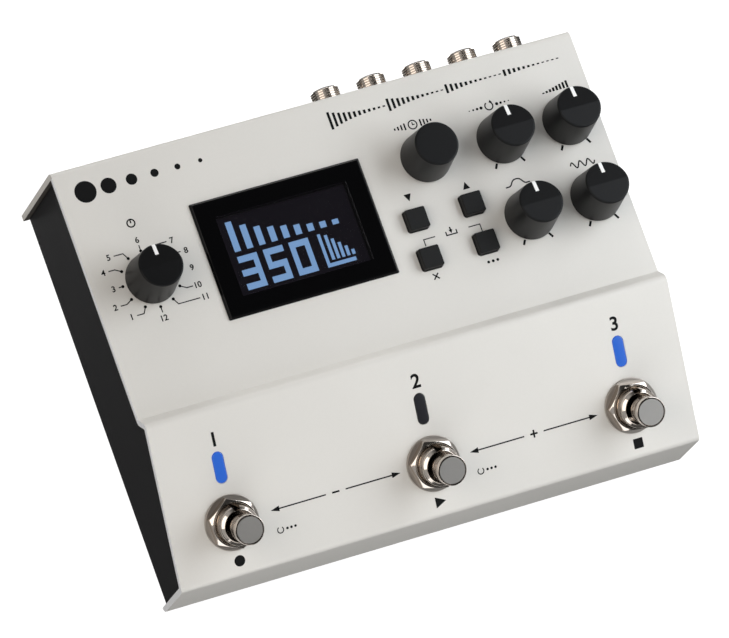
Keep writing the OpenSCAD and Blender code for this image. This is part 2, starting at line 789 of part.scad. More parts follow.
module lens(x) {
    color("#3064d4") on_slope(x, lens_down) {
        translate([0, 0, -sheet_t]) linear_extrude(sheet_t + lens_proud) pill(lens_w, lens_l);
        translate([0, 0, -sheet_t - lens_flange]) linear_extrude(lens_flange)
            pill(lens_w + 2 * lens_flange, lens_l + 2 * lens_flange);
    }
}

module left_lens() { lens(-switch_pitch); }
module middle_lens() { lens(0); }
module right_lens() { lens(switch_pitch); }

module light_emitters() {
    color("#e8e8e0") for (x = switch_places) on_slope(x, lens_down) translate([0, 0, light_board_z])
        plate(emitter_w, emitter_l, -light_board_z - sheet_t - lens_flange - move_gap, emitter_w / 5);
}

module light_board() {
    color("#2f6b3c") on_slope(0, lens_down) translate([0, 0, light_board_z - board_t])
        plate(light_board_w, light_board_d, board_t, 1);
}

module light_board_posts() {
    color("#b9bbbd") for (x = light_post_places) on_slope(x, lens_down) translate([0, 0, light_board_z])
        cylinder(d = post_d, h = -light_board_z - sheet_t);
}

// Footswitch housing and bushing, bored for the plunger, with a keyway and three solder tags
module switch_bodies() {
    tag_l = 4;
    tag_w = 2;
    tag_t = 0.8;
    tag_pitch = 4.8;
    r = switch_bushing_d / 2;
    rim = 0.6;
    bore_h = plunger_seat + plunger_travel + move_gap;
    color("#8e8f92") for (x = switch_places) on_slope(x, switch_down) difference() {
        union() {
            translate([0, 0, -sheet_t - switch_body_h])
                plate(switch_body_w, switch_body_w, switch_body_h, rim);
            rotate_extrude() polygon([[0, -sheet_t - bite], [r, -sheet_t - bite],
                [r, switch_bushing_h - rim], [r - rim, switch_bushing_h], [0, switch_bushing_h]]);
            for (i = [-1:1])
                translate([i * tag_pitch - tag_w / 2, -tag_t / 2, -sheet_t - switch_body_h - tag_l])
                    cube([tag_w, tag_t, tag_l + bite]);
        }
        translate([0, 0, -bore_h])
            cylinder(d = plunger_d + 2 * slide_fit, h = bore_h + switch_bushing_h + bite);
        translate([-keyway_w / 2, r - keyway_d, 0])
            cube([keyway_w, keyway_d + bite, switch_bushing_h + bite]);
    }
}

module switch_washers() {
    color("#c9c8c6") for (x = switch_places) on_slope(x, switch_down)
        washer(switch_washer_d / 2, switch_bushing_d / 2 + thread_fit, switch_washer_t);
}

module switch_nuts() {
    color("#d2d1cf") for (x = switch_places) on_slope(x, switch_down) translate([0, 0, switch_washer_t])
        hex_nut(switch_nut_w, switch_nut_h, switch_bushing_d / 2 + thread_fit);
}

module plunger(x) {
    r = plunger_d / 2;
    rim = 0.45;
    color("#c7c5c2") on_slope(x, switch_down) rotate_extrude()
        polygon([[0, -plunger_seat], [r, -plunger_seat], [r, plunger_rise - rim],
            [r - rim, plunger_rise], [0, plunger_rise]]);
}

module left_plunger() { plunger(-switch_pitch); }
module middle_plunger() { plunger(0); }
module right_plunger() { plunger(switch_pitch); }

// Phone jack: a housing on the jack board and a threaded bushing through the rear wall
module jack(i) {
    back_wall = 3;
    r = jack_bushing_d / 2;
    bore_l = jack_out + sheet_t + jack_body_d - back_wall;
    color("#1d1d1f") on_rear(jack_places[i], z_socket) difference() {
        union() {
            translate([0, 0, -sheet_t - jack_body_d]) plate(jack_body_w, jack_body_h, jack_body_d, 1);
            rotate_extrude() polygon([[0, -sheet_t - bite], [r, -sheet_t - bite], [r, jack_out - jack_rim],
                [r - jack_rim, jack_out], [0, jack_out]]);
        }
        translate([0, 0, jack_out - bore_l]) cylinder(d = jack_bore_d, h = bore_l + bite);
    }
}

module jack_1() { jack(0); }
module jack_2() { jack(1); }
module jack_3() { jack(2); }
module jack_4() { jack(3); }
module jack_5() { jack(4); }

module jack_washers() {
    color("#b9bbbd") for (x = jack_places) on_rear(x, z_socket)
        washer(jack_nut_w / 2 + jack_washer_lap, jack_bushing_d / 2 + thread_fit, jack_washer_t);
}

module jack_nuts() {
    color("#c4c5c7") for (x = jack_places) on_rear(x, z_socket)
        translate([0, 0, jack_washer_t]) hex_nut(jack_nut_w, jack_nut_h, jack_bushing_d / 2 + thread_fit);
}

// Round five-pin sockets, flush with the rear wall: a bored housing and the insulator in its bore
module din_sockets() {
    ring_w = 0.7;
    groove = 1;
    pin_circle_r = 3.75;
    pin_hole_d = 1.6;
    pin_hole_l = 0.8;
    depth = sheet_t + 6;
    core_r = din_r - ring_w - groove;
    core_h = depth - run_fit;
    color("#29292b") for (x = din_places) on_rear(x, z_socket) {
        difference() {
            union() {
                translate([0, 0, -sheet_t - din_body_d]) plate(din_body_w, jack_body_h, din_body_d, 1);
                translate([0, 0, -sheet_t - bite]) cylinder(r = din_r, h = sheet_t + bite);
            }
            translate([0, 0, -depth]) cylinder(r = din_r - ring_w, h = depth + bite);
        }
        translate([0, 0, -core_h]) difference() {
            cylinder(r = core_r, h = core_h);
            for (a = [-180:45:0]) rotate([0, 0, a]) translate([pin_circle_r, 0, core_h - pin_hole_l])
                cylinder(d = pin_hole_d, h = pin_hole_l + bite);
        }
    }
}

// Flat steel shell round a contact tongue, on a block that stands on the jack board
module usb_port() {
    tongue_w = 5;
    tongue_t = 0.8;
    color("#a9abae") on_rear(usb_at, z_socket) difference() {
        translate([0, 0, -sheet_t - usb_depth]) plate(usb_w, usb_d, sheet_t + usb_depth, usb_r);
        translate([0, 0, -sheet_t - usb_depth + bite]) difference() {
            plate(usb_w - 2 * usb_wall, usb_d - 2 * usb_wall, sheet_t + usb_depth, usb_r - usb_wall / 2);
            translate([0, 0, -bite]) plate(tongue_w, tongue_t, usb_depth, tongue_t / 4);
        }
    }
    color("#1d1d1f") translate([usb_at - usb_w / 2, y_rear - sheet_t - usb_depth, z_jacks])
        cube([usb_w, usb_depth, z_socket - usb_d / 2 - z_jacks]);
}

// Power inlet: a barrel bore with a pin in its middle
module dc_jack() {
    depth = 12;
    barrel_d = 6.4;
    barrel_l = 9;
    pin_d = 2;
    color("#1d1d1f") on_rear(dc_at, z_socket) difference() {
        union() {
            translate([-dc_w / 2, -dc_w / 2, -sheet_t - depth])
                cube([dc_w, dc_w / 2 + jack_body_h / 2, depth]);
            translate([0, 0, -sheet_t - bite]) cylinder(r = dc_r, h = sheet_t + bite);
        }
        translate([0, 0, -sheet_t - barrel_l]) difference() {
            cylinder(d = barrel_d, h = sheet_t + barrel_l + bite);
            translate([0, 0, -bite]) cylinder(d = pin_d, h = barrel_l + bite);
        }
    }
}

module panel_board() {
    color("#2f6b3c") board(-tray_in + panel_edge, tray_in - panel_edge, y_step + panel_edge,
        y_rear - panel_rear, z_panel - board_t);
}

module main_board() {
    chip_w = 14;
    chip_h = 1.4;
    chip_pitch = 20;
    chip_y = (main_y0 + main_y1) / 2;
    color("#2f6b3c") board(main_x0, main_x1, main_y0, main_y1, z_main);
    color("#222224") for (i = [0:2])
        translate([main_x0 + board_edge + post_d + i * chip_pitch, chip_y, z_main + board_t])
            cube([chip_w, chip_w, chip_h]);
}

module jack_board() {
    color("#2f6b3c") board(-jack_board_x, jack_board_x, jack_board_y0, jack_board_y1, z_jacks - board_t);
}

module board_standoffs() {
    color("#b9bbbd") {
        for (at = main_posts) translate([at[0], at[1], z_floor]) cylinder(d = post_d, h = z_main - z_floor);
        for (at = jack_posts)
            translate([at[0], at[1], z_floor]) cylinder(d = post_d, h = z_jacks - board_t - z_floor);
    }
}

// Flat cable from the main board up to the panel board, between two connectors
module ribbon_cable() {
    z0 = z_main + board_t;
    z1 = z_panel - board_t;
    bow = 3;
    lead = 2;
    run = [[ribbon_at[1], z0 + connector_h], [ribbon_at[1], z0 + connector_h + lead],
        [ribbon_at[1] + bow, (z0 + z1) / 2], [ribbon_at[1], z1 - connector_h - lead],
        [ribbon_at[1], z1 - connector_h]];
    color("#8d9096") across(ribbon_at[0], ribbon_at[0] + ribbon_w)
        polygon(strip_outline(run, ribbon_t, ribbon_r));
    color("#e2ded2") for (z = [z0, z1 - connector_h])
        translate([ribbon_at[0] - connector_lap, ribbon_at[1] - connector_d / 2, z])
            cube([ribbon_w + 2 * connector_lap, connector_d, connector_h]);
}

// Box over the tray's opening
module battery_bay() {
    color("#2a2a2c") translate([bay_x - bay_w / 2, bay_y0, z_floor]) difference() {
        cube([bay_w, bay_d, bay_h + bay_wall]);
        translate([bay_wall, bay_wall, -bite]) cube([bay_in_w, bay_in_d, bay_h + bite]);
    }
}

module battery_cells() {
    nub = 1.2;
    nub_d = 5.4;
    y0 = bay_y0 + bay_wall + door_ledge + (cell_d + cell_room) / 2;
    for (i = [0:cell_count - 1])
        translate([bay_x, y0 + i * (cell_d + cell_room), z_floor + move_gap + cell_d / 2])
            rotate([0, i % 2 == 0 ? 90 : -90, 0]) color("#c5c6c8") translate([0, 0, -cell_l / 2]) {
                cylinder(d = cell_d, h = cell_l - nub);
                cylinder(d = nub_d, h = cell_l);
            }
}

top_cover();
bottom_chassis();
battery_door();
rubber_feet();
case_screws();
mode_knob();
time_knob();
feedback_knob();
level_knob();
tone_knob();
depth_knob();
mode_shaft();
time_shaft();
feedback_shaft();
level_shaft();
tone_shaft();
depth_shaft();
mode_switch_body();
time_encoder_body();
time_rotor();
potentiometers();
control_washers();
control_nuts();
down_key();
up_key();
exit_key();
edit_key();
key_switches();
display_window();
lcd_frame();
lcd_glass();
left_lens();
middle_lens();
right_lens();
light_emitters();
light_board();
light_board_posts();
switch_bodies();
switch_washers();
switch_nuts();
left_plunger();
middle_plunger();
right_plunger();
jack_1();
jack_2();
jack_3();
jack_4();
jack_5();
jack_washers();
jack_nuts();
din_sockets();
usb_port();
dc_jack();
panel_board();
main_board();
jack_board();
board_standoffs();
ribbon_cable();
battery_bay();
battery_cells();
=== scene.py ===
"""Looks of a delay pedal: finishes, print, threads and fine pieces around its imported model."""
import json
import math

import bmesh
import bpy
import numpy as np
from mathutils import Matrix, Vector


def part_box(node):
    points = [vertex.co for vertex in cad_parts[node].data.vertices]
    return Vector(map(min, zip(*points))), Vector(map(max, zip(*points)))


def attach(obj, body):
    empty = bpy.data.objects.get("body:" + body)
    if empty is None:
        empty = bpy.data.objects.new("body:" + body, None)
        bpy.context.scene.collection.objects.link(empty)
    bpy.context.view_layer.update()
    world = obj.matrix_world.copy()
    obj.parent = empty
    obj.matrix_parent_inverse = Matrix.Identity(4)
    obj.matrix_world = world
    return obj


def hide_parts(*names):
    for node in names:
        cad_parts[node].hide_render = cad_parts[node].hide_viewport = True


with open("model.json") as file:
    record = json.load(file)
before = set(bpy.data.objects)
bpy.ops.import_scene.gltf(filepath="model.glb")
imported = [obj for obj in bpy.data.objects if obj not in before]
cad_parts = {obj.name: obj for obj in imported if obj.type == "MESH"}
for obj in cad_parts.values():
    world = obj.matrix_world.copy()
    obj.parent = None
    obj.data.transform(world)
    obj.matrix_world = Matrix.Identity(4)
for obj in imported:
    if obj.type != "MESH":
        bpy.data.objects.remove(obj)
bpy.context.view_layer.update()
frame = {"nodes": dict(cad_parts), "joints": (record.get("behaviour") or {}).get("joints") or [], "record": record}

bl_info = {
    "name": "Delay pedal looks",
    "version": (1, 0, 0),
    "blender": (4, 5, 0),
    "location": "View3D > Sidebar > Pedal",
    "description": "Dresses the packed delay pedal with its finishes, print and fine pieces",
    "category": "Object",
}

MM = 0.001
NODES = frame["nodes"]
JOINTS = {joint["name"]: joint for joint in frame["joints"]}
NODE_SLOTS = {row["node"]: row["material_slot"] for row in frame["record"]["subparts"]}


# Places read from the frame, in millimetres


def low(node):
    """Lowest corner of a CAD node."""
    return np.array(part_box(node)[0]) / MM


def high(node):
    """Highest corner of a CAD node."""
    return np.array(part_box(node)[1]) / MM


def middle(node):
    """Middle of a CAD node's box."""
    return (low(node) + high(node)) / 2


def span(node):
    """Size of a CAD node's box."""
    return high(node) - low(node)


def hub(joint):
    """Point on a joint's axis."""
    return np.array(JOINTS[joint]["pos_m"]) / MM


KNOBS = ("mode", "time", "feedback", "level", "tone", "depth")
POTS = KNOBS[2:]
KEYS = ("down", "up", "exit", "edit")
SWITCHES = ("left", "middle", "right")
JACKS = ("jack_1", "jack_2", "jack_3", "jack_4", "jack_5")

Z_DECK = hub("mode_turn")[2]
# Axes across, along and out of the knob deck, the sloping deck and the rear wall
LEVEL = np.eye(3)
SLOPE_OUT = -np.array(JOINTS["left_press"]["axis"])
SLOPE_UP = np.cross(SLOPE_OUT, (1, 0, 0))
SLOPE = np.array([(1, 0, 0), SLOPE_UP, SLOPE_OUT])
REAR = np.array([(1, 0, 0), (0, 0, -1), (0, 1, 0)])
WASHER_T = 0.8
SLOPE_MIDDLE = middle("switch_washers") - WASHER_T / 2 * SLOPE_OUT
SWITCH_PITCH = middle("right_plunger")[0] - middle("middle_plunger")[0]
SWITCH_X = (-SWITCH_PITCH, 0, SWITCH_PITCH)
# From the switches up the slope, to its fold and to the lights
SLOPE_TOP = 35.4
LIGHT_AT = 16.95 * SLOPE_UP
SHEET_T = 1.8
Y_REAR = low("jack_washers")[1]
Z_SOCKET = middle("jack_nuts")[2]
# Rows of points in a thread's pitch, and the room between a thread and its nut
THREAD_ROWS = 18
THREAD_PLAY = 0.05
# Share of the ink's thickness that lies under the paint's face
INK_SINK = 0.5


# Sizes and colours that a user can change


def length(name, description, millimetres):
    """A size in the sidebar, with its default given in millimetres."""
    return bpy.props.FloatProperty(
        name=name, description=description, default=millimetres * MM,
        min=0, precision=5, subtype="DISTANCE", unit="LENGTH")


def linear(code):
    """Linear colour of a six-digit sRGB code: c / 12.92 near black, else ((c + 0.055) / 1.055) ^ 2.4."""
    c = np.array([int(code[i:i + 2], 16) for i in (1, 3, 5)]) / 255
    return (*np.where(c <= 0.04045, c / 12.92, ((c + 0.055) / 1.055) ** 2.4).tolist(), 1)


def colour(name, description, code):
    """A colour in the sidebar, with its default given as a six-digit sRGB code."""
    return bpy.props.FloatVectorProperty(
        name=name, description=description, default=linear(code), size=4, min=0, max=1, subtype="COLOR")


class PedalSizes(bpy.types.PropertyGroup):
    """Sizes of the fine pieces."""

    knob_base: length("Knob base", "Diameter of a knob at the deck", 15.8)
    knob_top: length("Knob top", "Diameter of a knob at its top", 13.5)
    knob_rim: length("Knob rim", "Reach of the round edge of a knob's top", 0.55)
    knob_drop: length("Knob drop", "Drop of the slanted half of a knob's top at the rim", 1.25)
    pointer_width: length("Pointer width", "Width of the white line on a knob", 1.1)
    pointer_length: length("Pointer length", "Length of the white line on a knob", 3.4)
    key_width: length("Key width", "Width of a key's cap", 6.5)
    key_lift: length("Key lift", "Height of a key's cap over the packed key", 1.2)
    key_rim: length("Key rim", "Width of the sloping edge of a key's top", 0.3)
    window_rim: length("Window rim", "Width of the sloping edge of the display window", 0.65)
    view_width: length("View width", "Width of the lit part of the display", 42.6)
    view_depth: length("View depth", "Depth of the lit part of the display", 25.4)
    switch_thread: length("Switch thread", "Diameter of a footswitch's bushing", 12)
    switch_nut: length("Switch nut", "Width across the flats of a footswitch's nut", 14)
    plunger: length("Plunger", "Diameter of a footswitch's plunger", 9.2)
    lens_width: length("Lens width", "Width of a light's lens", 3.3)
    lens_length: length("Lens length", "Length of a light's lens", 9.4)
    jack_thread: length("Jack thread", "Diameter of a jack's threaded bushing", 9)
    jack_bore: length("Jack bore", "Bore of a jack", 6.5)
    jack_nut: length("Jack nut", "Width across the flats of a jack's nut", 12)
    thread_pitch: length("Thread pitch", "Distance between the crests of a thread", 0.75)
    thread_depth: length("Thread depth", "Depth of a thread", 0.2)
    foot: length("Foot", "Diameter of a rubber foot", 16)
    ink: length("Ink", "Thickness of the printed ink", 0.03)


class PedalColours(bpy.types.PropertyGroup):
    """Colours of the finishes."""

    cover: colour("Cover", "Paint of the folded cover", "#dedbd5")
    tray: colour("Tray", "Powder coat of the tray", "#1b1b1d")
    knob: colour("Knob", "Moulded plastic of the knobs", "#0b0b0c")
    key: colour("Key", "Rubber of the keys", "#080808")
    pointer: colour("Pointer", "Line on the knobs", "#f4f4f2")
    ink: colour("Ink", "Print on the cover", "#0b0b0b")
    # Darker colour given to the cover's inner planes
    primer: colour("Inner dark", "Darker colour inside the cover", "#55504b")
    # Painted highlight: near white on the cover's side cut edges, for the light a rounded edge would catch
    cut_edge: colour("Painted edge highlight", "Painted highlight on the cover's side cut edges", "#fafcff")
    metal: colour("Metal", "Nickel plate of the switches and jacks", "#cdc4bb")
    plunger: colour("Plunger", "Blasted top of the plungers", "#b8b4af")
    washer: colour("Washer", "Brushed washers of the switches", "#aca49c")
    window: colour("Window", "Black rim of the display window", "#060607")
    display: colour("Display", "Dark ground of the display", "#120f16")
    pixel: colour("Pixel", "Lit pixels of the display", "#86aedf")
    light: colour("Light", "Lens of a lit light", "#316bd6")
    dark_light: colour("Dark light", "Lens of a light that is off", "#232327")


def mm(name):
    """A size from the sidebar in millimetres."""
    return getattr(bpy.context.scene.pedal_sizes, name) / MM


def tone(name):
    """A colour from the sidebar."""
    return tuple(getattr(bpy.context.scene.pedal_colours, name))


def new_object(name, data):
    """An object in the scene that shows a mesh, curve, lamp or camera."""
    made = bpy.data.objects.new(name, data)
    bpy.context.scene.collection.objects.link(made)
    return made


# Surfaces: each is an array of points in millimetres and a list of arrays of faces


def grid_faces(rows, columns, round_columns=True, round_rows=False):
    """Quads of a grid of points; a round direction joins its last line to its first."""
    i, j = np.meshgrid(np.arange(rows if round_rows else rows - 1),
                       np.arange(columns if round_columns else columns - 1), indexing="ij")
    near, far, right = i * columns, (i + 1) % rows * columns, (j + 1) % columns
    return np.stack([near + j, near + right, far + right, far + j], axis=-1).reshape(-1, 4)


def shell(rings, loop=False, first=None, last=None):
    """Quads between neighbouring rings of points; first and last are points that close the two ends
    with fans, and loop joins the last ring to the first."""
    rows, columns = rings.shape[:2]
    points = rings.reshape(-1, 3)
    blocks = [grid_faces(rows, columns, True, loop)]
    j = np.arange(columns)
    after = (j + 1) % columns
    if first is not None:
        blocks.append(np.stack([np.full(columns, len(points)), after, j], axis=1))
        points = np.vstack([points, first])
    if last is not None:
        top = (rows - 1) * columns
        blocks.append(np.stack([np.full(columns, len(points)), top + j, top + after], axis=1))
        points = np.vstack([points, last])
    return points, blocks


def around(turns):
    """Angles in equal steps round a full turn."""
    return np.linspace(0, 2 * math.pi, turns, endpoint=False)


def polar(r, a, z):
    """Points (r cos a, r sin a, z), with each of the three spread to the others' shape."""
    r, a, z = np.broadcast_arrays(r, a, z)
    return np.stack([r * np.cos(a), r * np.sin(a), z], axis=-1)


def lathe(profile, turns=96, loop=False):
    """Surface of revolution: (r, z) goes to (r cos a, r sin a, z), with a in equal steps. An end at
    r = 0 is a pole."""
    profile = np.asarray(profile, float)
    pole = profile[:, 0] < 1e-9
    r, z = profile[~pole].T[:, :, None]
    first = (0, 0, profile[0, 1]) if pole[0] else None
    last = (0, 0, profile[-1, 1]) if pole[-1] else None
    return shell(polar(r, around(turns), z), loop, first, last)


def tower(sections, loop=False):
    """Surface through outlines at given heights: (x, y) of each goes to (x, y, z). The ends are closed
    at the outlines' middles unless the sections form a loop."""
    rings = np.stack([np.column_stack([outline, np.full(len(outline), z)]) for outline, z in sections])
    if loop:
        return shell(rings, True)
    return shell(rings, False, rings[0].mean(axis=0), rings[-1].mean(axis=0))


def softened(points, reach, steps=5, loop=False):
    """A line whose corners become parabolas (1-t)^2 a + 2t(1-t) c + t^2 b, where a and b lie reach from
    the corner c, or less on a short side. A point just outside each end keeps the flats flat."""
    points = np.asarray(points, float)
    if loop:
        before, corner, after = np.roll(points, 1, axis=0), points, np.roll(points, -1, axis=0)
    else:
        before, corner, after = points[:-2], points[1:-1], points[2:]
    back, ahead = before - corner, after - corner
    back_l = np.linalg.norm(back, axis=1, keepdims=True)
    ahead_l = np.linalg.norm(ahead, axis=1, keepdims=True)
    most, keep = 0.4, 0.12
    cut = np.minimum(reach, most * np.minimum(back_l, ahead_l))
    a, b = corner + back / back_l * cut, corner + ahead / ahead_l * cut
    t = np.linspace(0, 1, steps + 1)[None, :, None]
    bend = (1 - t) ** 2 * a[:, None] + 2 * t * (1 - t) * corner[:, None] + t ** 2 * b[:, None]
    outer_a, outer_b = a + back / back_l * cut * keep, b + ahead / ahead_l * cut * keep
    line = np.concatenate([outer_a[:, None], bend, outer_b[:, None]], axis=1)
    line = line.reshape(-1, points.shape[1])
    return line if loop else np.vstack([points[:1], line, points[-1:]])


def rounded_outline(width, depth, radius, steps=8):
    """Rectangle with round corners, anticlockwise: a quarter circle about each corner's centre."""
    a = np.radians(np.arange(4)[:, None] * 90 + np.linspace(0, 90, steps + 1)[None])
    x = (width / 2 - radius) * np.array([1, -1, -1, 1])[:, None] + radius * np.cos(a)
    y = (depth / 2 - radius) * np.array([1, 1, -1, -1])[:, None] + radius * np.sin(a)
    return np.stack([x, y], axis=-1).reshape(-1, 2)


def sloped_top(width, depth, radius, rim, foot, head):
    """Sections of a block whose top edge slopes in by its rim, with both ends of the slope eased."""
    ease, flat, least = 0.1, 0.4, 0.15
    profile = softened([(0, foot), (0, head - rim), (rim, head), (rim + flat, head)], ease, 3)
    return [(rounded_outline(width - 2 * i, depth - 2 * i, max(radius - i, least)), z) for i, z in profile]


def circle(radius, turns=32):
    """Points round a circle, anticlockwise."""
    return polar(radius, around(turns), 0)[:, :2]


def circle_like(outline, radius):
    """Circle whose points lie in the same directions as an outline's."""
    return outline / np.linalg.norm(outline, axis=1, keepdims=True) * radius


def turned(surface, degrees):
    """A surface turned about its own Z axis, anticlockwise."""
    points, blocks = surface
    c, s = math.cos(math.radians(degrees)), math.sin(math.radians(degrees))
    return points @ np.array([(c, s, 0), (-s, c, 0), (0, 0, 1)]), blocks


def placed(surface, origin, axes=LEVEL):
    """A surface turned to the given axes and moved to an origin."""
    points, blocks = surface
    return points @ axes + np.asarray(origin, float), blocks


def joined(surfaces):
    """Several surfaces as one, with the faces of each counted on from the last."""
    surfaces = list(surfaces)
    starts = np.cumsum([0] + [len(points) for points, _ in surfaces[:-1]])
    points = np.vstack([points for points, _ in surfaces])
    return points, [block + start for start, (_, blocks) in zip(starts, surfaces) for block in blocks]


def prism(outline, height):
    """Flat shape with straight sides, sunk a little below its plane."""
    outline = np.asarray(outline, float)
    count = len(outline)
    ends = (-INK_SINK * height, height)
    points = np.vstack([np.column_stack([outline, np.full(count, z)]) for z in ends])
    ring = np.arange(count)[None]
    return points, [grid_faces(2, count), ring[:, ::-1], ring + count]


def strip(rings, loop=False):
    """Shell through rings of four points, closed flat at both ends unless it is a loop."""
    points, blocks = shell(rings, loop)
    end = np.arange(4)[None]
    return points, blocks if loop else [*blocks, end[:, ::-1], end + len(points) - 4]


def ribbon(path, width, height, loop=False):
    """Flat strip along a line: each point goes half the width to both sides along the mitre of its two
    runs, (n1 + n2) / (1 + n1 . n2), with n1 and n2 square to the runs."""
    path = np.asarray(path, float)
    run = np.diff(np.vstack([path, path[:1]]) if loop else path, axis=0)
    run /= np.linalg.norm(run, axis=1, keepdims=True)
    square = np.column_stack([-run[:, 1], run[:, 0]])
    n1 = np.roll(square, 1, axis=0) if loop else np.vstack([square[:1], square])
    n2 = square if loop else np.vstack([square, square[-1:]])
    side = (n1 + n2) / (1 + (n1 * n2).sum(axis=1, keepdims=True)) * width / 2
    left, right, one = path + side, path - side, np.ones((len(path), 1))
    top, under = height * one, -INK_SINK * height * one
    corners = ((left, top), (right, top), (right, under), (left, under))
    return strip(np.stack([np.hstack(corner) for corner in corners], axis=1), loop)


def arc(radius, start, end, steps=24):
    """Points along an arc, in degrees clockwise from straight up."""
    a = np.radians(np.linspace(start, end, steps + 1))
    return radius * np.stack([np.sin(a), np.cos(a)], axis=-1)


def numeral(text, size, height):
    """A number as a flat mesh about its own middle, made from the plain built-in letter shapes."""
    curve = bpy.data.curves.new("numeral", "FONT")
    thick, bolder = 0.05, 0.022
    curve.body, curve.extrude, curve.offset = text, thick, bolder
    holder = new_object("numeral", curve)
    bpy.context.view_layer.update()
    mesh = bpy.data.meshes.new_from_object(holder.evaluated_get(bpy.context.evaluated_depsgraph_get()))
    points = np.zeros(len(mesh.vertices) * 3)
    mesh.vertices.foreach_get("co", points)
    points = points.reshape(-1, 3)
    blocks = [np.array([list(polygon.vertices)]) for polygon in mesh.polygons]
    bpy.data.objects.remove(holder)
    bpy.data.meshes.remove(mesh)
    bpy.data.curves.remove(curve)
    lowest, highest = points.min(axis=0), points.max(axis=0)
    points = (points - (lowest + highest) / 2) * size / (highest[1] - lowest[1])
    points[:, 2] = np.where(points[:, 2] > 0, height, -INK_SINK * height)
    return points, blocks


def thread(radius, z0, z1, turns=96):
    """Rings of a screw thread with flat crests, and their angles: r = radius - depth max(0, cos p - c) /
    (1 - c), where p is 2 pi z / pitch - a and c sets the crests' share; its end is eased to a cone."""
    pitch, depth, run_out, crest = mm("thread_pitch"), mm("thread_depth"), 0.5, -0.1
    a = around(turns)
    z = np.linspace(z0, z1, round(THREAD_ROWS * (z1 - z0) / pitch))[:, None]
    wave = np.cos(2 * math.pi * z / pitch - a)
    r = radius - depth * np.maximum(0, wave - crest) / (1 - crest)
    r = np.minimum(r, radius - np.maximum(0, z - (z1 - run_out)))
    return polar(r, a, z), a


def keyed(profile, half, floor, turns=144):
    """Closed surface of revolution with a keyway cut straight across towards +Y: between the angles
    where the circle meets the key's half width, r is at most floor / sin a."""
    profile = np.asarray(profile, float)
    up, edge = math.pi / 2, math.asin(half / profile[:, 0].max())
    key, gap, least = up + edge * np.array([-1.001, -0.999, -0.5, 0, 0.5, 0.999, 1.001]), 0.03, 0.1
    a = around(turns)
    a = np.sort(np.concatenate([a[np.abs(a - up) > edge + gap], key]))
    cut = np.where(np.abs(a - up) < edge, floor / np.maximum(np.sin(a), least), np.inf)
    return shell(polar(np.minimum(profile[:, :1], cut), a, profile[:, 1:]), True)


def hex_nut(width, height, hole, z):
    """Nut that sits at the height z: outside r = flat / cos(a mod 60 - 30), held inside the cone
    r = inset flat + (height - rise) / fall; the hole is round, with a small countersink."""
    flat, sink, chamfer, inset, fall, turns = width / 2, 0.35, 0.8, 0.985, 0.6, 144
    a = around(turns)
    hexagon = flat / np.cos(np.mod(a, math.pi / 3) - math.pi / 6)
    rise = np.concatenate([[0], np.linspace(height - chamfer, height, 17)])
    outside = np.minimum(hexagon, flat * inset + (height - rise[:, None]) / fall)
    r = np.vstack([np.full(turns, hole), outside, np.full(turns, hole + sink), np.full(turns, hole)])
    h = np.concatenate([[0], rise, [height, height - sink]])[:, None]
    return shell(polar(r, a, z + h), True)


def washer(radius, hole, thickness):
    """Flat ring with softened edges."""
    section, ease = [(hole, 0), (radius, 0), (radius, thickness), (hole, thickness)], 0.16
    return lathe(softened(section, ease, 4, True), 128, True)


# Making a piece and its materials


def make_piece(name, layers, body="casing", slot=None, stands_for=(), sharp=30, weld=False):
    """Puts surfaces, each with its material, into one mesh that rides on a body; weld joins surfaces
    that meet."""
    points, blocks = joined([surface for surface, _ in layers])
    materials = [material for _, material in layers]
    counts = [sum(len(block) for block in surface[1]) for surface, _ in layers]
    mesh = bpy.data.meshes.new(name)
    mesh.from_pydata((points * MM).tolist(), [], [face for block in blocks for face in block.tolist()])
    used = list(dict.fromkeys(materials))
    for material in used:
        mesh.materials.append(material)
    index = np.repeat([used.index(material) for material in materials], counts)
    mesh.polygons.foreach_set("material_index", index.astype(np.int32))
    mesh.polygons.foreach_set("use_smooth", np.ones(len(index), bool))
    if weld:
        welded, apart = bmesh.new(), 1e-7
        welded.from_mesh(mesh)
        bmesh.ops.remove_doubles(welded, verts=welded.verts, dist=apart)
        welded.to_mesh(mesh)
        welded.free()
    mesh.set_sharp_from_angle(angle=math.radians(sharp))
    mesh.update()
    piece = new_object(name, mesh)
    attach(piece, body)
    if stands_for:
        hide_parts(*stands_for)
    return piece


def dress(name, surface, slot, *stands_for, **more):
    """A piece of one surface, in the finish of its slot, that may stand for CAD nodes."""
    return make_piece(name, [(surface, finish(slot))], slot=slot, stands_for=stands_for, **more)


def bevel(piece, width, angle):
    """Rounds the edges of a piece that are sharper than an angle, so that they catch the light."""
    modifier = piece.modifiers.new("Edges", "BEVEL")
    modifier.width, modifier.segments = width * MM, 2
    modifier.limit_method, modifier.angle_limit = "ANGLE", math.radians(angle)
    modifier.harden_normals = True


def node(tree, kind, place, **settings):
    """A shader node at a place in the editor, with its settings."""
    made = tree.nodes.new(kind)
    made.location = place
    for key, value in settings.items():
        setattr(made, key, value)
    return made


def worked(tree, operation, first, second, place, **settings):
    """Output of a Math node whose two inputs are sockets or plain numbers."""
    made = node(tree, "ShaderNodeMath", place, operation=operation, **settings)
    for socket, value in zip(made.inputs, (first, second)):
        if isinstance(value, (int, float)):
            socket.default_value = value
        else:
            tree.links.new(value, socket)
    return made.outputs[0]


def ranged(tree, value, ends, place, **settings):
    """Output of a Map Range node that takes a value between the first two ends to the last two."""
    made = node(tree, "ShaderNodeMapRange", place, **settings)
    for socket, end in zip(made.inputs[1:5], ends):
        socket.default_value = end
    tree.links.new(value, made.inputs["Value"])
    return made.outputs["Result"]


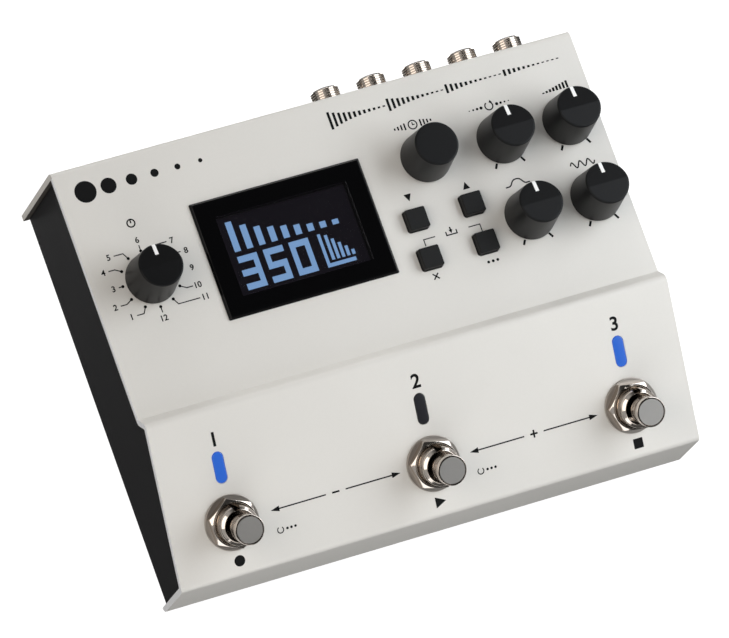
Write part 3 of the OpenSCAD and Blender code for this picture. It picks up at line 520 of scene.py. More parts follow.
def grain_group():
    """Group: fine moulded or sprayed grain and soft clouds of shade, on Object coordinates."""
    name = "Surface grain"
    if name in bpy.data.node_groups:
        return bpy.data.node_groups[name]
    tree = bpy.data.node_groups.new(name, "ShaderNodeTree")
    amounts = ("Speckle", "Cloud", "Scale", "Depth", "Roughness", "Scuff")
    for way, kind, labels in (("INPUT", "Color", ("Tint",)), ("INPUT", "Float", amounts),
                              ("OUTPUT", "Color", ("Colour",)), ("OUTPUT", "Float", ("Roughness",)),
                              ("OUTPUT", "Vector", ("Normal",))):
        for label in labels:
            tree.interface.new_socket(label, in_out=way, socket_type=f"NodeSocket{kind}")
    link, broad_scale, broad_detail, fine_detail = tree.links.new, 38, 4, 3
    given = node(tree, "NodeGroupInput", (-900, 0))
    result = node(tree, "NodeGroupOutput", (700, 0))
    where = node(tree, "ShaderNodeTexCoord", (-900, -300))
    fine = node(tree, "ShaderNodeTexNoise", (-600, -100))
    broad = node(tree, "ShaderNodeTexNoise", (-600, -400))
    for noise, detail in ((fine, fine_detail), (broad, broad_detail)):
        noise.inputs["Detail"].default_value = detail
        link(where.outputs["Object"], noise.inputs["Vector"])
    link(given.outputs["Scale"], fine.inputs["Scale"])
    broad.inputs["Scale"].default_value = broad_scale

    def swing(noise, amount, place):
        """Noise about zero, times an amount."""
        centred = worked(tree, "SUBTRACT", noise.outputs[0], 0.5, place)
        return worked(tree, "MULTIPLY", centred, given.outputs[amount], (place[0] + 180, place[1]))

    speckle, cloud = swing(fine, "Speckle", (-350, 200)), swing(broad, "Cloud", (-350, 50))
    shade = worked(tree, "ADD", worked(tree, "ADD", speckle, cloud, (50, 150)), 1, (220, 150))
    tinted = node(tree, "ShaderNodeVectorMath", (400, 150), operation="SCALE")
    scuff = swing(broad, "Scuff", (-350, -150))
    rough = worked(tree, "ADD", given.outputs["Roughness"], scuff, (220, 0), use_clamp=True)
    bump = node(tree, "ShaderNodeBump", (220, -200))
    for source, target in ((given.outputs["Tint"], tinted.inputs[0]), (shade, tinted.inputs["Scale"]),
                           (tinted.outputs[0], result.inputs["Colour"]),
                           (rough, result.inputs["Roughness"]), (fine.outputs[0], bump.inputs["Height"]),
                           (given.outputs["Depth"], bump.inputs["Distance"]),
                           (bump.outputs["Normal"], result.inputs["Normal"])):
        link(source, target)
    return tree


def blank_material(name, **values):
    """A material with one Principled shader and its plain socket values."""
    material = bpy.data.materials.new(name)
    material.use_nodes = True
    shader = material.node_tree.nodes["Principled BSDF"]
    for socket, value in values.items():
        shader.inputs[socket.replace("_", " ")].default_value = value
    return material, shader


def grained(name, tint, roughness, scale=1200, depth=0.004, speckle=0.05, cloud=0.05, scuff=0.08,
            **values):
    """A material with the shared grain: its scale in features a metre and depth in millimetres, and the
    swing of its speckle, clouds and scuffs. Other values go to the shader's own sockets."""
    if name in bpy.data.materials:
        return bpy.data.materials[name]
    material, shader = blank_material(name, **values)
    tree = material.node_tree
    grain = node(tree, "ShaderNodeGroup", (-350, 200), node_tree=grain_group())
    for socket, value in (("Tint", tint), ("Speckle", speckle), ("Cloud", cloud), ("Scale", scale),
                          ("Depth", depth * MM), ("Roughness", roughness), ("Scuff", scuff)):
        grain.inputs[socket].default_value = value
    for source, target in (("Colour", "Base Color"), ("Roughness", "Roughness"), ("Normal", "Normal")):
        tree.links.new(grain.outputs[source], shader.inputs[target])
    return material


def metal(name, tint, roughness, depth=0.0015):
    """Plated or turned metal with faint scuffs."""
    return grained(name, tint, roughness, 900, depth, 0.04, 0.06, 0.12, Metallic=1.0)


def glow(name, tint, strength):
    """Tinted plastic lit from behind, a little brighter in places."""
    share = 0.3
    dim = (*(share * np.array(tint[:3])), 1)
    material = grained(name, dim, 0.25, 500, 0.002, 0.02, 0.12, Emission_Strength=strength / share)
    tree = material.node_tree
    grain = next(n for n in tree.nodes if n.type == "GROUP")
    tree.links.new(grain.outputs["Colour"], tree.nodes["Principled BSDF"].inputs["Emission Color"])
    return material


def clear(name):
    """Clear acrylic."""
    return blank_material(name, Roughness=0.02, IOR=1.49, Transmission_Weight=1.0)[0]


def finish(slot):
    """The finish of one of the record's material slots: name, tint, roughness, then the grain's values."""
    finishes = {
        "cover_paint": lambda: grained("Cover paint", tone("cover"), 0.42, 1500, 0.003, 0.03, 0.03, 0.06,
                                       Coat_Weight=0.12, Coat_Roughness=0.2),
        "tray_paint": lambda: grained("Tray powder coat", tone("tray"), 0.5, 1700, 0.012, 0.2, 0.1,
                                      Specular_IOR_Level=0.3),
        "knob_plastic": lambda: grained("Knob plastic", tone("knob"), 0.38, 2600, 0.004, 0.15, 0.08,
                                        Specular_IOR_Level=0.22),
        "key_rubber": lambda: grained("Key rubber", tone("key"), 0.6, 2200, 0.006, 0.15, 0.1,
                                      Specular_IOR_Level=0.3),
        "door_plastic": lambda: grained("Door plastic", linear("#161617"), 0.55, 2400, 0.015, 0.2, 0.1,
                                        Specular_IOR_Level=0.3),
        "foot_rubber": lambda: grained("Foot rubber", linear("#171717"), 0.75, 1500, 0.02, 0.25, 0.15),
        "black_steel": lambda: metal("Black steel", linear("#2e2e30"), 0.38),
        "shaft_metal": lambda: metal("Shaft metal", linear("#b9bbbd"), 0.3),
        "control_plastic": lambda: grained("Control plastic", linear("#38383b"), 0.5),
        "zinc": lambda: metal("Zinc plate", linear("#b7b8ba"), 0.36),
        "brass": lambda: metal("Brass", linear("#c9a56a"), 0.3),
        "window_gloss": lambda: grained("Window black", tone("window"), 0.06, 300, 0.0004, 0.1, 0.1, 0.02,
                                        Specular_IOR_Level=0.25),
        "lcd_metal": lambda: metal("Display frame", linear("#17181a"), 0.5),
        "lcd_glass": lambda: grained("Display glass", tone("display"), 0.2, 400, 0.0005),
        "lens_blue": lambda: glow("Blue light", tone("light"), 0.62),
        "lens_dark": lambda: grained("Dark light", tone("dark_light"), 0.3, 500, 0.002,
                                     Specular_IOR_Level=0.3),
        "emitter": lambda: grained("Emitter", linear("#e8e8e0"), 0.4),
        "board_green": lambda: grained("Board", linear("#2f6b3c"), 0.35, 700, 0.01, 0.3, 0.2),
        "nickel": lambda: metal("Nickel plate", tone("metal"), 0.09, 0.0008),
        "jack_plastic": lambda: grained("Jack plastic", linear("#1b1b1d"), 0.45, 2000, 0.006),
        "port_steel": lambda: metal("Port steel", linear("#a9abae"), 0.28),
        "ribbon": lambda: grained("Ribbon", linear("#8d9096"), 0.45, 900, 0.01),
        "cell_wrap": lambda: grained("Cell wrap", linear("#4a4c50"), 0.3, 800, 0.004),
    }
    return finishes[slot]()


def ink_material():
    """Printed ink, a little uneven."""
    return grained("Ink", tone("ink"), 0.55, 3000, 0.002, 0.2, 0.1, Specular_IOR_Level=0.15)


# Operators, one for each group of pieces


class PEDAL_OT_stage(bpy.types.Operator):
    """Sets the floor, the lights and the camera."""

    bl_idname = "pedal.stage"
    bl_label = "Stage"

    camera_place = (-0.7365, -0.4700, 2.1545)
    camera_axes = ((0.9110, -0.3342, 0.2417), (0.2603, 0.9204, 0.2917), (-0.3200, -0.2028, 0.9255))
    camera_lens, camera_sensor, camera_end = 378.11, 36, 20
    aim = (0, 0, 0.04)
    white, cool, warm = (1, 1, 1), (0.9, 0.95, 1.0), (1.0, 0.92, 0.84)
    # Each lamp's place, width and height in metres, its power in watts and its tint
    lamps = {
        "key_light": ((0.402, -0.014, 0.415), 0.55, 0.36, 2.35, cool),
        "side_light": ((0.825, -0.516, 0.433), 1.0, 0.75, 2.0, cool),
        "left_light": ((-0.78, 0.0, 0.743), 0.75, 0.75, 3.3, warm),
        "front_light": ((-0.11, -0.42, 0.16), 0.35, 0.35, 0.56, white),
        "rear_light": ((0.2, 1.5, 0.2), 1.0, 0.4, 5, white),
        "under_light": ((0.35, 0.6, -1.2), 1.0, 1.0, 10, white),
    }
    sky, under_sky, horizon = 0.46, 0.1, (-0.06, 0.02)
    dark_ways, dark_share, dark_edge = ((0.32, 0.25, 0.91), (0.32, -0.57, 0.76)), 0.1, (0.76, 0.93)
    floor_reach, floor_paint, floor_glow = 4.0, 0.2, 1.0

    def floor(self):
        """A wide floor that the camera sees white from above; from below and to other rays it is clear."""
        reach = self.floor_reach
        mesh = bpy.data.meshes.new("floor")
        mesh.from_pydata([(-reach, -reach, 0), (reach, -reach, 0), (reach, reach, 0), (-reach, reach, 0)],
                         [], [(0, 1, 2, 3)])
        floor = new_object("floor", mesh)
        material, shader = blank_material("Floor", Base_Color=(*[self.floor_paint] * 3, 1), Roughness=0.9,
                                          Specular_IOR_Level=0.0, Emission_Color=(1, 1, 1, 1),
                                          Emission_Strength=self.floor_glow)
        tree = material.node_tree
        side = node(tree, "ShaderNodeNewGeometry", (-600, 300))
        ray = node(tree, "ShaderNodeLightPath", (-600, 0))
        seen = worked(tree, "SUBTRACT", ray.outputs["Is Camera Ray"], side.outputs["Backfacing"],
                      (-300, 200), use_clamp=True)
        air = node(tree, "ShaderNodeBsdfTransparent", (0, -300))
        mix = node(tree, "ShaderNodeMixShader", (300, 200))
        for source, target in zip((seen, air.outputs[0], shader.outputs[0]), mix.inputs):
            tree.links.new(source, target)
        tree.links.new(mix.outputs[0], tree.nodes["Material Output"].inputs["Surface"])
        mesh.materials.append(material)

    def lamp(self, name, place, width, height, power, tint):
        """A soft rectangular light that looks at the pedal."""
        light = bpy.data.lights.new(name, "AREA")
        light.shape = "RECTANGLE"
        light.size, light.size_y, light.energy, light.color = width, height, power, tint
        holder = new_object(name, light)
        holder.location = place
        holder.rotation_euler = (Vector(self.aim) - Vector(place)).to_track_quat("-Z", "Y").to_euler()

    def studio(self):
        """Even light from all round, dimmer below and in two patches that the flat faces mirror."""
        world = bpy.data.worlds.new("studio")
        world.use_nodes = True
        tree = world.node_tree
        link = tree.links.new
        way = node(tree, "ShaderNodeTexCoord", (-1100, 0))
        rise = node(tree, "ShaderNodeSeparateXYZ", (-850, -200))
        link(way.outputs["Generated"], rise.inputs[0])
        heights = (*self.horizon, self.under_sky, self.sky)
        light = ranged(tree, rise.outputs["Z"], heights, (-600, -200))
        for i, dark_way in enumerate(self.dark_ways):
            facing = node(tree, "ShaderNodeVectorMath", (-850, 100 + 300 * i), operation="DOT_PRODUCT")
            facing.inputs[1].default_value = Vector(dark_way).normalized()
            link(way.outputs["Generated"], facing.inputs[0])
            patch = ranged(tree, facing.outputs["Value"], (*self.dark_edge, 1, self.dark_share),
                           (-600, 100 + 300 * i), interpolation_type="SMOOTHSTEP")
            light = worked(tree, "MULTIPLY", light, patch, (-400 + 150 * i, 0))
        ray = node(tree, "ShaderNodeLightPath", (-600, -500))
        shown = worked(tree, "MAXIMUM", light, ray.outputs["Is Camera Ray"], (0, 0))
        backdrop = tree.nodes["Background"]
        backdrop.inputs["Color"].default_value = (1, 1, 1, 1)
        link(shown, backdrop.inputs["Strength"])
        bpy.context.scene.world = world

    def camera(self):
        """The camera, at its fitted place and turn."""
        camera = bpy.data.cameras.new("camera")
        camera.sensor_fit, camera.sensor_width = "HORIZONTAL", self.camera_sensor
        camera.lens, camera.clip_end = self.camera_lens, self.camera_end
        holder = new_object("camera", camera)
        turn = Matrix(self.camera_axes).transposed().to_4x4()
        holder.matrix_world = Matrix.Translation(self.camera_place) @ turn
        bpy.context.scene.camera = holder

    def execute(self, context):
        context.scene.view_settings.view_transform = "Standard"
        self.floor()
        self.studio()
        for name, values in self.lamps.items():
            self.lamp(name, *values)
        self.camera()
        return {"FINISHED"}


class PEDAL_OT_finishes(bpy.types.Operator):
    """Gives every CAD node the finish of its material slot."""

    bl_idname = "pedal.finishes"
    bl_label = "Finishes"

    def execute(self, context):
        for name, piece in NODES.items():
            piece.data.materials.clear()
            piece.data.materials.append(finish(NODE_SLOTS[name]))
        return {"FINISHED"}


class PEDAL_OT_cover(bpy.types.Operator):
    """Puts a skin with smooth folds over the sheet cover, with a painted highlight on its side cut edges and a
    darker colour inside.
    """

    bl_idname = "pedal.cover"
    bl_label = "Cover"

    square, near, digits = 0.99, 0.05, 4

    def coats(self, centre, normal):
        """The colour on each face: 1, a darker colour, on the sheet's inner planes (rear wall, deck and slope); 2,
        a near-white painted highlight, on the cut edges at the two sides in front of the rear wall; 0, paint,
        elsewhere."""
        # Inner planes of the sheet, which get the darker colour
        rear = (normal[:, 1] < -self.square) & (np.abs(centre[:, 1] - Y_REAR + SHEET_T) < self.near)
        deck = (normal[:, 2] < -self.square) & (np.abs(centre[:, 2] - Z_DECK + SHEET_T) < self.near)
        slope = normal @ SLOPE_OUT < -self.square
        # Faces of the side cut edges, which get the painted highlight
        side = (np.abs(normal[:, 0]) > self.square) & (centre[:, 1] < Y_REAR - SHEET_T)
        side &= np.abs(centre[:, 0]) > high("top_cover")[0] - self.near
        return np.where(side, 2, rear | deck | slope).astype(np.int32)

    def execute(self, context):
        source = NODES["top_cover"].data
        points = np.zeros(len(source.vertices) * 3, np.float32)
        source.vertices.foreach_get("co", points)
        loops = np.zeros(len(source.loops), np.int32)
        source.loops.foreach_get("vertex_index", loops)
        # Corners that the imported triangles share, and the triangles that keep three of them
        rounded = np.round(points.reshape(-1, 3) / MM, self.digits)
        shared, where = np.unique(rounded, axis=0, return_inverse=True)
        triangles = where.reshape(-1)[loops].reshape(-1, 3)
        whole = (np.diff(np.sort(triangles, axis=1), axis=1) > 0).all(axis=1)
        points, triangles = shared.astype(float), triangles[whole]
        piece = dress("cover_skin", (points, [triangles]), "cover_paint", "top_cover", sharp=20)
        # Darker colour on the sheet's inner planes
        piece.data.materials.append(grained("Inner darker colour", tone("primer"), 0.6, 1500, 0.003))
        # Painted highlight: the side cut edges in near white
        piece.data.materials.append(grained("Painted edge highlight", tone("cut_edge"), 0.45, 1500, 0.003))
        a, b, c = points[triangles].transpose(1, 0, 2)
        normal = np.cross(b - a, c - a)
        normal /= np.maximum(np.linalg.norm(normal, axis=1, keepdims=True), 1e-12)
        piece.data.polygons.foreach_set("material_index", self.coats((a + b + c) / 3, normal))
        return {"FINISHED"}


class PEDAL_OT_knobs(bpy.types.Operator):
    """Makes the six tapered knobs and the white lines on them."""

    bl_idname = "pedal.knobs"
    bl_label = "Knobs"

    bore, bore_top, cavity, cavity_top, chamfer = 3.05, 12.1, 6.25, 6.2, 0.15
    line_proud, line_sunk = 0.03, 0.15

    def knob(self, name):
        """Turned taper with a hollow base. Where the knob has a line, the rear half of its top slants:
        z goes to z (1 - max(0, y) drop / (r h))."""
        base_r, top_r, rim = mm("knob_base") / 2, mm("knob_top") / 2, mm("knob_rim")
        foot, head = low(f"{name}_knob")[2] - Z_DECK, high(f"{name}_knob")[2] - Z_DECK
        outside = softened([(base_r - self.chamfer, foot), (base_r, foot + self.chamfer),
                            (top_r, head), (0, head)], rim, 22)
        inside = [(0, self.bore_top), (self.bore, self.bore_top), (self.bore, self.cavity_top),
                  (self.cavity, self.cavity_top), (self.cavity, foot)]
        layers, slant = [lathe(np.vstack([inside, outside]), 128)], 0
        if name != "time":
            slant = mm("knob_drop") / top_r / head
            layers.append(self.line(outside))
        made = []
        for points, blocks in layers:
            points = points.copy()
            points[:, 2] *= 1 - np.maximum(0, points[:, 1]) * slant
            made.append(placed((points, blocks), hub(f"{name}_turn")))
        return made

    def line(self, outside):
        """White strip that follows the knob's top and rim: each point of the profile is moved along its
        outward normal (-dz, dr), and y = sqrt(r^2 - x^2) keeps it on the round rim."""
        half, head = mm("pointer_width") / 2, outside[-1, 1]
        start = mm("knob_top") / 2 - mm("pointer_length")
        rim = outside[::-1]
        rim = rim[(rim[:, 0] > start) & (rim[:, 1] > head - mm("knob_rim"))]
        path = np.vstack([[(start, head)], rim])
        step = np.gradient(path, axis=0)
        normal = np.column_stack([-step[:, 1], step[:, 0]]) / np.linalg.norm(step, axis=1, keepdims=True)
        upper, lower = path + self.line_proud * normal, path - self.line_sunk * normal
        corners = ((-half, upper), (half, upper), (half, lower), (-half, lower))
        edges = [np.column_stack([np.full(len(path), x), np.sqrt(edge[:, 0] ** 2 - x ** 2), edge[:, 1]])
                 for x, edge in corners]
        return strip(np.stack(edges, axis=1))

    def execute(self, context):
        white = grained("Pointer paint", tone("pointer"), 0.4, 2000, 0.002, 0.03, 0.03)
        for name in KNOBS:
            layers = list(zip(self.knob(name), (finish("knob_plastic"), white)))
            make_piece(f"{name}_knob_cap", layers, f"{name}_knob", "knob_plastic", (f"{name}_knob",), 5.5)
        return {"FINISHED"}


class PEDAL_OT_keys(bpy.types.Operator):
    """Makes the four square keys: cap, stop flange and stem."""

    bl_idname = "pedal.keys"
    bl_label = "Keys"

    corner, flange_t, flange_play, stem, hair = 0.5, 0.8, 0.3, 3.2, 0.01

    def cap(self, key):
        """Outlines from the foot of the round stem over the flange to the sloping edge of the top."""
        width, foot, head = mm("key_width"), low(key)[2], high(key)[2] + mm("key_lift")
        flange_z = Z_DECK - SHEET_T - self.flange_play - self.flange_t
        post = rounded_outline(self.stem, self.stem, self.stem / 2 - self.hair)
        flange = rounded_outline(span(key)[0], span(key)[0], self.corner)
        seat = flange_z + self.flange_t
        top = sloped_top(width, width, self.corner, mm("key_rim"), seat, head)
        return tower([(post, foot), (post, flange_z), (flange, flange_z), (flange, seat), *top])

    def execute(self, context):
        for name in KEYS:
            key = f"{name}_key"
            surface = placed(self.cap(key), (*middle(key)[:2], 0))
            dress(f"{name}_key_cap", surface, "key_rubber", key, body=key, sharp=40)
        return {"FINISHED"}


class PEDAL_OT_display(bpy.types.Operator):
    """Makes the window's black rim, its clear pane and the lit picture under it."""

    bl_idname = "pedal.display"
    bl_label = "Display"

    corner, plug, plug_corner, view_corner = 0.4, 2.5, 1.2, 0.4
    pane_t, pane_play, pane_down = 0.6, 0.02, 0.01
    picture_up, picture_t = 0.02, 0.015
    # The picture is laid out in pixels
    columns, rows, shown = 128, 64, "350"
    digit_w, digit_h, digit_t, digit_pitch = 19, 27, 5, 25
    segments = {"0": "abcdef", "1": "bc", "2": "abged", "3": "abgcd", "4": "fgbc",
                "5": "afgcd", "6": "afgedc", "7": "abc", "8": "abcdefg", "9": "abcdfg"}

    def rim(self, at):
        """Closed loop of rounded outlines: plug, plate, sloping edge, top and the opening's wall."""
        width, depth = span("display_window")[:2]
        foot, head = low("display_window")[2], high("display_window")[2]
        view_w, view_d = mm("view_width"), mm("view_depth")
        plug = rounded_outline(view_w + 2 * self.plug, view_d + 2 * self.plug, self.plug_corner)
        view = rounded_outline(view_w, view_d, self.view_corner)
        plate = sloped_top(width, depth, self.corner, mm("window_rim"), Z_DECK, head)
        sections = [(view, foot), (plug, foot), (plug, Z_DECK), *plate, (view, head)]
        return placed(tower(sections, True), (*at, 0))

    def pane(self, at):
        """Clear slab in the rim's opening, a hair below its top."""
        head, play = high("display_window")[2], self.pane_play
        outline = rounded_outline(mm("view_width") - play, mm("view_depth") - play, self.view_corner)
        return placed(tower([(outline, head - self.pane_t), (outline, head - self.pane_down)]), (*at, 0))

    def digit(self, canvas, figure, x, y):
        """Fills the bars of a seven-bar figure whose lower left corner is at (x, y)."""
        w, h, t, half = self.digit_w, self.digit_h, self.digit_t, self.digit_h // 2
        bars = {"a": (x, y + h - t, w, t), "g": (x, y + half - t // 2, w, t), "d": (x, y, w, t),
                "f": (x, y + half, t, h - half), "b": (x + w - t, y + half, t, h - half),
                "e": (x, y, t, half), "c": (x + w - t, y, t, half)}
        for bar in self.segments[figure]:
            bar_x, bar_y, bar_w, bar_h = bars[bar]
            canvas[bar_y:bar_y + bar_h, bar_x:bar_x + bar_w] = 1

    def picture(self):
        """Lit pixels: a number under a row of falling bars, beside a small graph of a fading echo."""
        canvas = np.zeros((self.rows, self.columns))
        left, foot = 10, 5
        for i, figure in enumerate(self.shown):
            self.digit(canvas, figure, left + self.digit_pitch * i, foot)
        bars, bar_foot, bar_w, bar_pitch, tallest, fade = 9, 36, 6, 12, 24, 0.8
        for i in range(bars):
            x = left + bar_pitch * i
            canvas[bar_foot:bar_foot + round(tallest * fade ** i), x:x + bar_w] = 1
        graph, graph_w, line, echoes, pitch, top, drop = 88, 28, 3, 5, 5, 30, 4
        canvas[foot:foot + self.digit_h, graph:graph + line] = 1
        canvas[foot:foot + line, graph:graph + graph_w] = 1
        for i in range(echoes):
            x = graph + 2 * line + pitch * i
            canvas[foot + pitch:top - drop * i, x:x + line] = 1
        return canvas

    def screen(self, at, material):
        """Grid of pixels just over the display glass, with each pixel's light as a face attribute."""
        u = np.linspace(-0.5, 0.5, self.columns + 1) * mm("view_width")
        v = np.linspace(-0.5, 0.5, self.rows + 1) * mm("view_depth")
        x, y = np.meshgrid(u, v)
        z = np.full(x.shape, high("lcd_glass")[2] + self.picture_up)
        points = np.stack([x, y, z], axis=-1).reshape(-1, 3)
        surface = placed((points, [grid_faces(self.rows + 1, self.columns + 1, False)]), (*at, 0))
        piece = make_piece("display_picture", [(surface, material)], slot="lcd_glass")
        lit = piece.data.attributes.new("lit", "FLOAT", "FACE")
        lit.data.foreach_set("value", self.picture().ravel().astype(np.float32))
        slab = piece.modifiers.new("Slab", "SOLIDIFY")
        slab.thickness, slab.offset = self.picture_t * MM, -1

    def pixel_material(self):
        """Dark ground and lit pixels, mixed by the pixels' own light."""
        material, shader = blank_material("Display pixels", Base_Color=(0, 0, 0, 1), Roughness=0.35,
                                          Specular_IOR_Level=0.1, Emission_Strength=1.0)
        tree = material.node_tree
        light = node(tree, "ShaderNodeAttribute", (-700, 200), attribute_name="lit")
        mix = node(tree, "ShaderNodeMix", (-400, 200), data_type="RGBA")
        tree.links.new(light.outputs["Fac"], mix.inputs["Factor"])
        colours = [socket for socket in mix.inputs if socket.type == "RGBA"]
        colours[0].default_value = tone("display")
        colours[1].default_value = tone("pixel")
        shade = next(socket for socket in mix.outputs if socket.type == "RGBA")
        tree.links.new(shade, shader.inputs["Emission Color"])
        return material

    def execute(self, context):
        at = middle("display_window")[:2]
        dress("display_rim", self.rim(at), "window_gloss", "display_window", sharp=40)
        make_piece("display_pane", [(self.pane(at), clear("Clear pane"))], slot="window_gloss", sharp=40)
        self.screen(at, self.pixel_material())
        return {"FINISHED"}


class PEDAL_OT_lights(bpy.types.Operator):
    """Makes the three pill-shaped lenses, each with a flange under the sheet."""

    bl_idname = "pedal.lights"
    bl_label = "Lights"

    flange, proud, rim, hair = 1.0, 0.3, 0.25, 0.001

    def pill(self, inset):
        """Outline of a lens with half-round ends, drawn in all round by an inset."""
        width, size = mm("lens_width") - 2 * inset, mm("lens_length") - 2 * inset
        return rounded_outline(width, size, width / 2 - self.hair, 12)

    def execute(self, context):
        a = np.linspace(0, math.pi / 2, 7)
        insets, heights = self.rim * (1 - np.cos(a)), self.proud - self.rim * (1 - np.sin(a))
        wide, body = self.pill(-self.flange), self.pill(0)
        surface = tower([(wide, -SHEET_T - self.flange), (wide, -SHEET_T), (body, -SHEET_T),
                         *((self.pill(inset), z) for inset, z in zip(insets, heights))])
        for name, x in zip(SWITCHES, SWITCH_X):
            lens = f"{name}_lens"
            cap = placed(surface, SLOPE_MIDDLE + LIGHT_AT + (x, 0, 0), SLOPE)
            dress(f"{lens}_cap", cap, NODE_SLOTS[lens], lens)
        return {"FINISHED"}


class PEDAL_OT_footswitches(bpy.types.Operator):
    """Makes the footswitches: housings, keyed bushings, washers, nuts and plungers."""

    bl_idname = "pedal.footswitches"
    bl_label = "Footswitches"

    body_w, body_h, body_corner, body_gap = 15, 14, 0.6, 0.01
    tag_w, tag_t, tag_l, tag_corner, tag_pitch = 2, 0.8, 4, 0.2, 4.8
    bushing_h, bushing_fall, bushing_ease, bore, bore_lip = 8, 0.9, 0.35, 4.7, 0.2
    keyway_half, keyway_d = 1.2, 1.15
    washer_r, nut_h, nut_turns, nut_ease, nut_angle = 8.5, 2.6, (37.5, 47, 53), 0.12, 24
    plunger_foot, plunger_head, plunger_rim, plunger_waist = -6, 15.8, 0.55, 0.7
    waist_end, flare_end, groove_w, step = 2, 1.2, 0.06, 0.02

    def housing(self):
        """Block under the sheet with three solder tags."""
        outline = rounded_outline(self.body_w, self.body_w, self.body_corner)
        foot = -SHEET_T - self.body_h
        block = tower([(outline, foot), (outline, -SHEET_T - self.body_gap)])
        flat = rounded_outline(self.tag_w, self.tag_t, self.tag_corner, 3)
        tag = tower([(flat, foot - self.tag_l), (flat, foot)])
        return joined([block, *(placed(tag, (self.tag_pitch * i, 0, 0)) for i in (-1, 0, 1))])

    def bushing(self):
        """Tube with a conical shoulder, a round mouth and a keyway, closed round its bore."""
        radius, head, bore, lip = mm("switch_thread") / 2, self.bushing_h, self.bore, self.bore_lip
        outside = [(radius, -SHEET_T), (radius, head - self.bushing_fall), (bore + lip, head),
                   (bore, head - 2 * lip), (bore, -SHEET_T)]
        return keyed(softened(outside, self.bushing_ease, 7), self.keyway_half, radius - self.keyway_d)

    def plunger(self):
        """Slightly tapered post with a rounded edge, and apart from it the flat top in a fine groove."""
        radius, foot, head = mm("plunger") / 2, self.plunger_foot, self.plunger_head
        waist, ring = radius - self.plunger_waist, radius - self.plunger_rim
        post = softened([(0, foot), (waist, foot), (waist, self.bushing_h - self.waist_end),
                         (radius, head - self.flare_end), (radius, head), (ring, head)],
                        0.8 * self.plunger_rim, 8)
        inner, floor, level = ring - self.groove_w, head - self.groove_w, head - self.step
        groove = [(ring - self.step, floor), (inner, floor)]
        top = [groove[1], (inner - self.step, level), (inner - 5 * self.step, level), (ring / 2, level),
               (0, level)]
        return lathe(np.vstack([post, groove]), 128), lathe(top, 128)

    def execute(self, context):
        blasted = metal("Blasted steel", tone("plunger"), 0.4, 0.004)
        brushed = metal("Brushed washer", tone("washer"), 0.34, 0.003)
        hole = mm("switch_thread") / 2 + THREAD_PLAY
        origins = [SLOPE_MIDDLE + (x, 0, 0) for x in SWITCH_X]

        def on_slope(surface):
            """The surface at each of the three switches."""
            return joined(placed(surface, origin, SLOPE) for origin in origins)

        dress("switch_housings", on_slope(self.housing()), "nickel", "switch_bodies")
        dress("switch_bushings", on_slope(self.bushing()), "nickel", "switch_bodies", sharp=50)
        rings = on_slope(washer(self.washer_r, hole, WASHER_T))
        make_piece("switch_washer_rings", [(rings, brushed)], slot="nickel",
                   stands_for=("switch_washers",))
        nut = hex_nut(mm("switch_nut"), self.nut_h, hole, WASHER_T)
        nuts = joined(placed(turned(nut, turn), origin, SLOPE)
                      for origin, turn in zip(origins, self.nut_turns))
        piece = dress("switch_hex_nuts", nuts, "nickel", "switch_nuts", sharp=self.nut_angle)
        bevel(piece, self.nut_ease, self.nut_angle)
        for name, origin in zip(SWITCHES, origins):
            body = f"{name}_plunger"
            post, top = (placed(part, origin, SLOPE) for part in self.plunger())
            layers = [(post, finish("nickel")), (top, blasted)]
            make_piece(f"{body}_post", layers, body, "nickel", (body,), weld=True)
        return {"FINISHED"}


class PEDAL_OT_jacks(bpy.types.Operator):
    """Makes the jacks: housings, threaded bushings, washers and nuts."""

    bl_idname = "pedal.jacks"
    bl_label = "Jacks"

    body_w, body_h, body_d, body_corner, back_wall, cup_play = 13.6, 15, 22, 1, 3, 0.3
    reach, inside, mouth, mouth_fall, neck_end = 8.5, 6, 0.3, 0.1, 0.2
    washer_r, washer_t, nut_h, nut_ease, nut_angle = 6.6, 0.5, 2.2, 0.1, 24

    def housing(self):
        """Block behind the wall, with the blind end of the bore as a cup in its front."""
        outline = rounded_outline(self.body_w, self.body_h, self.body_corner)
        hole = circle_like(outline, mm("jack_bore") / 2 + self.cup_play)
        front, rear = -SHEET_T, -SHEET_T - self.body_d
        return tower([(outline, rear), (outline, front), (hole, front), (hole, rear + self.back_wall)])

    def bushing(self):
        """Threaded tube through the wall, closed round its bore."""
        radius, bore, reach = mm("jack_thread") / 2, mm("jack_bore") / 2, self.reach
        neck, inner = radius - mm("thread_depth"), -SHEET_T - self.inside
        rings, a = thread(radius, -SHEET_T, reach - self.mouth_fall)
        root = [polar(neck, a, z) for z in (inner, -SHEET_T - self.neck_end)]
        mouth = [polar(r, a, z) for r, z in ((bore + self.mouth, reach), (bore, reach - self.mouth),
                                             (bore, inner))]
        return shell(np.concatenate([root, rings, mouth]), True)

    def execute(self, context):
        hole = mm("jack_thread") / 2 + THREAD_PLAY
        origins = [(middle(jack)[0], Y_REAR, Z_SOCKET) for jack in JACKS]
        for jack, origin in zip(JACKS, origins):
            dress(f"{jack}_housing", placed(self.housing(), origin, REAR), "jack_plastic", jack)
            dress(f"{jack}_bushing", placed(self.bushing(), origin, REAR), "nickel", jack, sharp=70)
        ring = washer(self.washer_r, hole, self.washer_t)
        rings = joined(placed(ring, origin, REAR) for origin in origins)
        dress("jack_washer_rings", rings, "zinc", "jack_washers")
        nut = hex_nut(mm("jack_nut"), self.nut_h, hole, self.washer_t)
        nuts = joined(placed(nut, origin, REAR) for origin in origins)
        piece = dress("jack_hex_nuts", nuts, "nickel", "jack_nuts", sharp=self.nut_angle)
        bevel(piece, self.nut_ease, self.nut_angle)
        return {"FINISHED"}


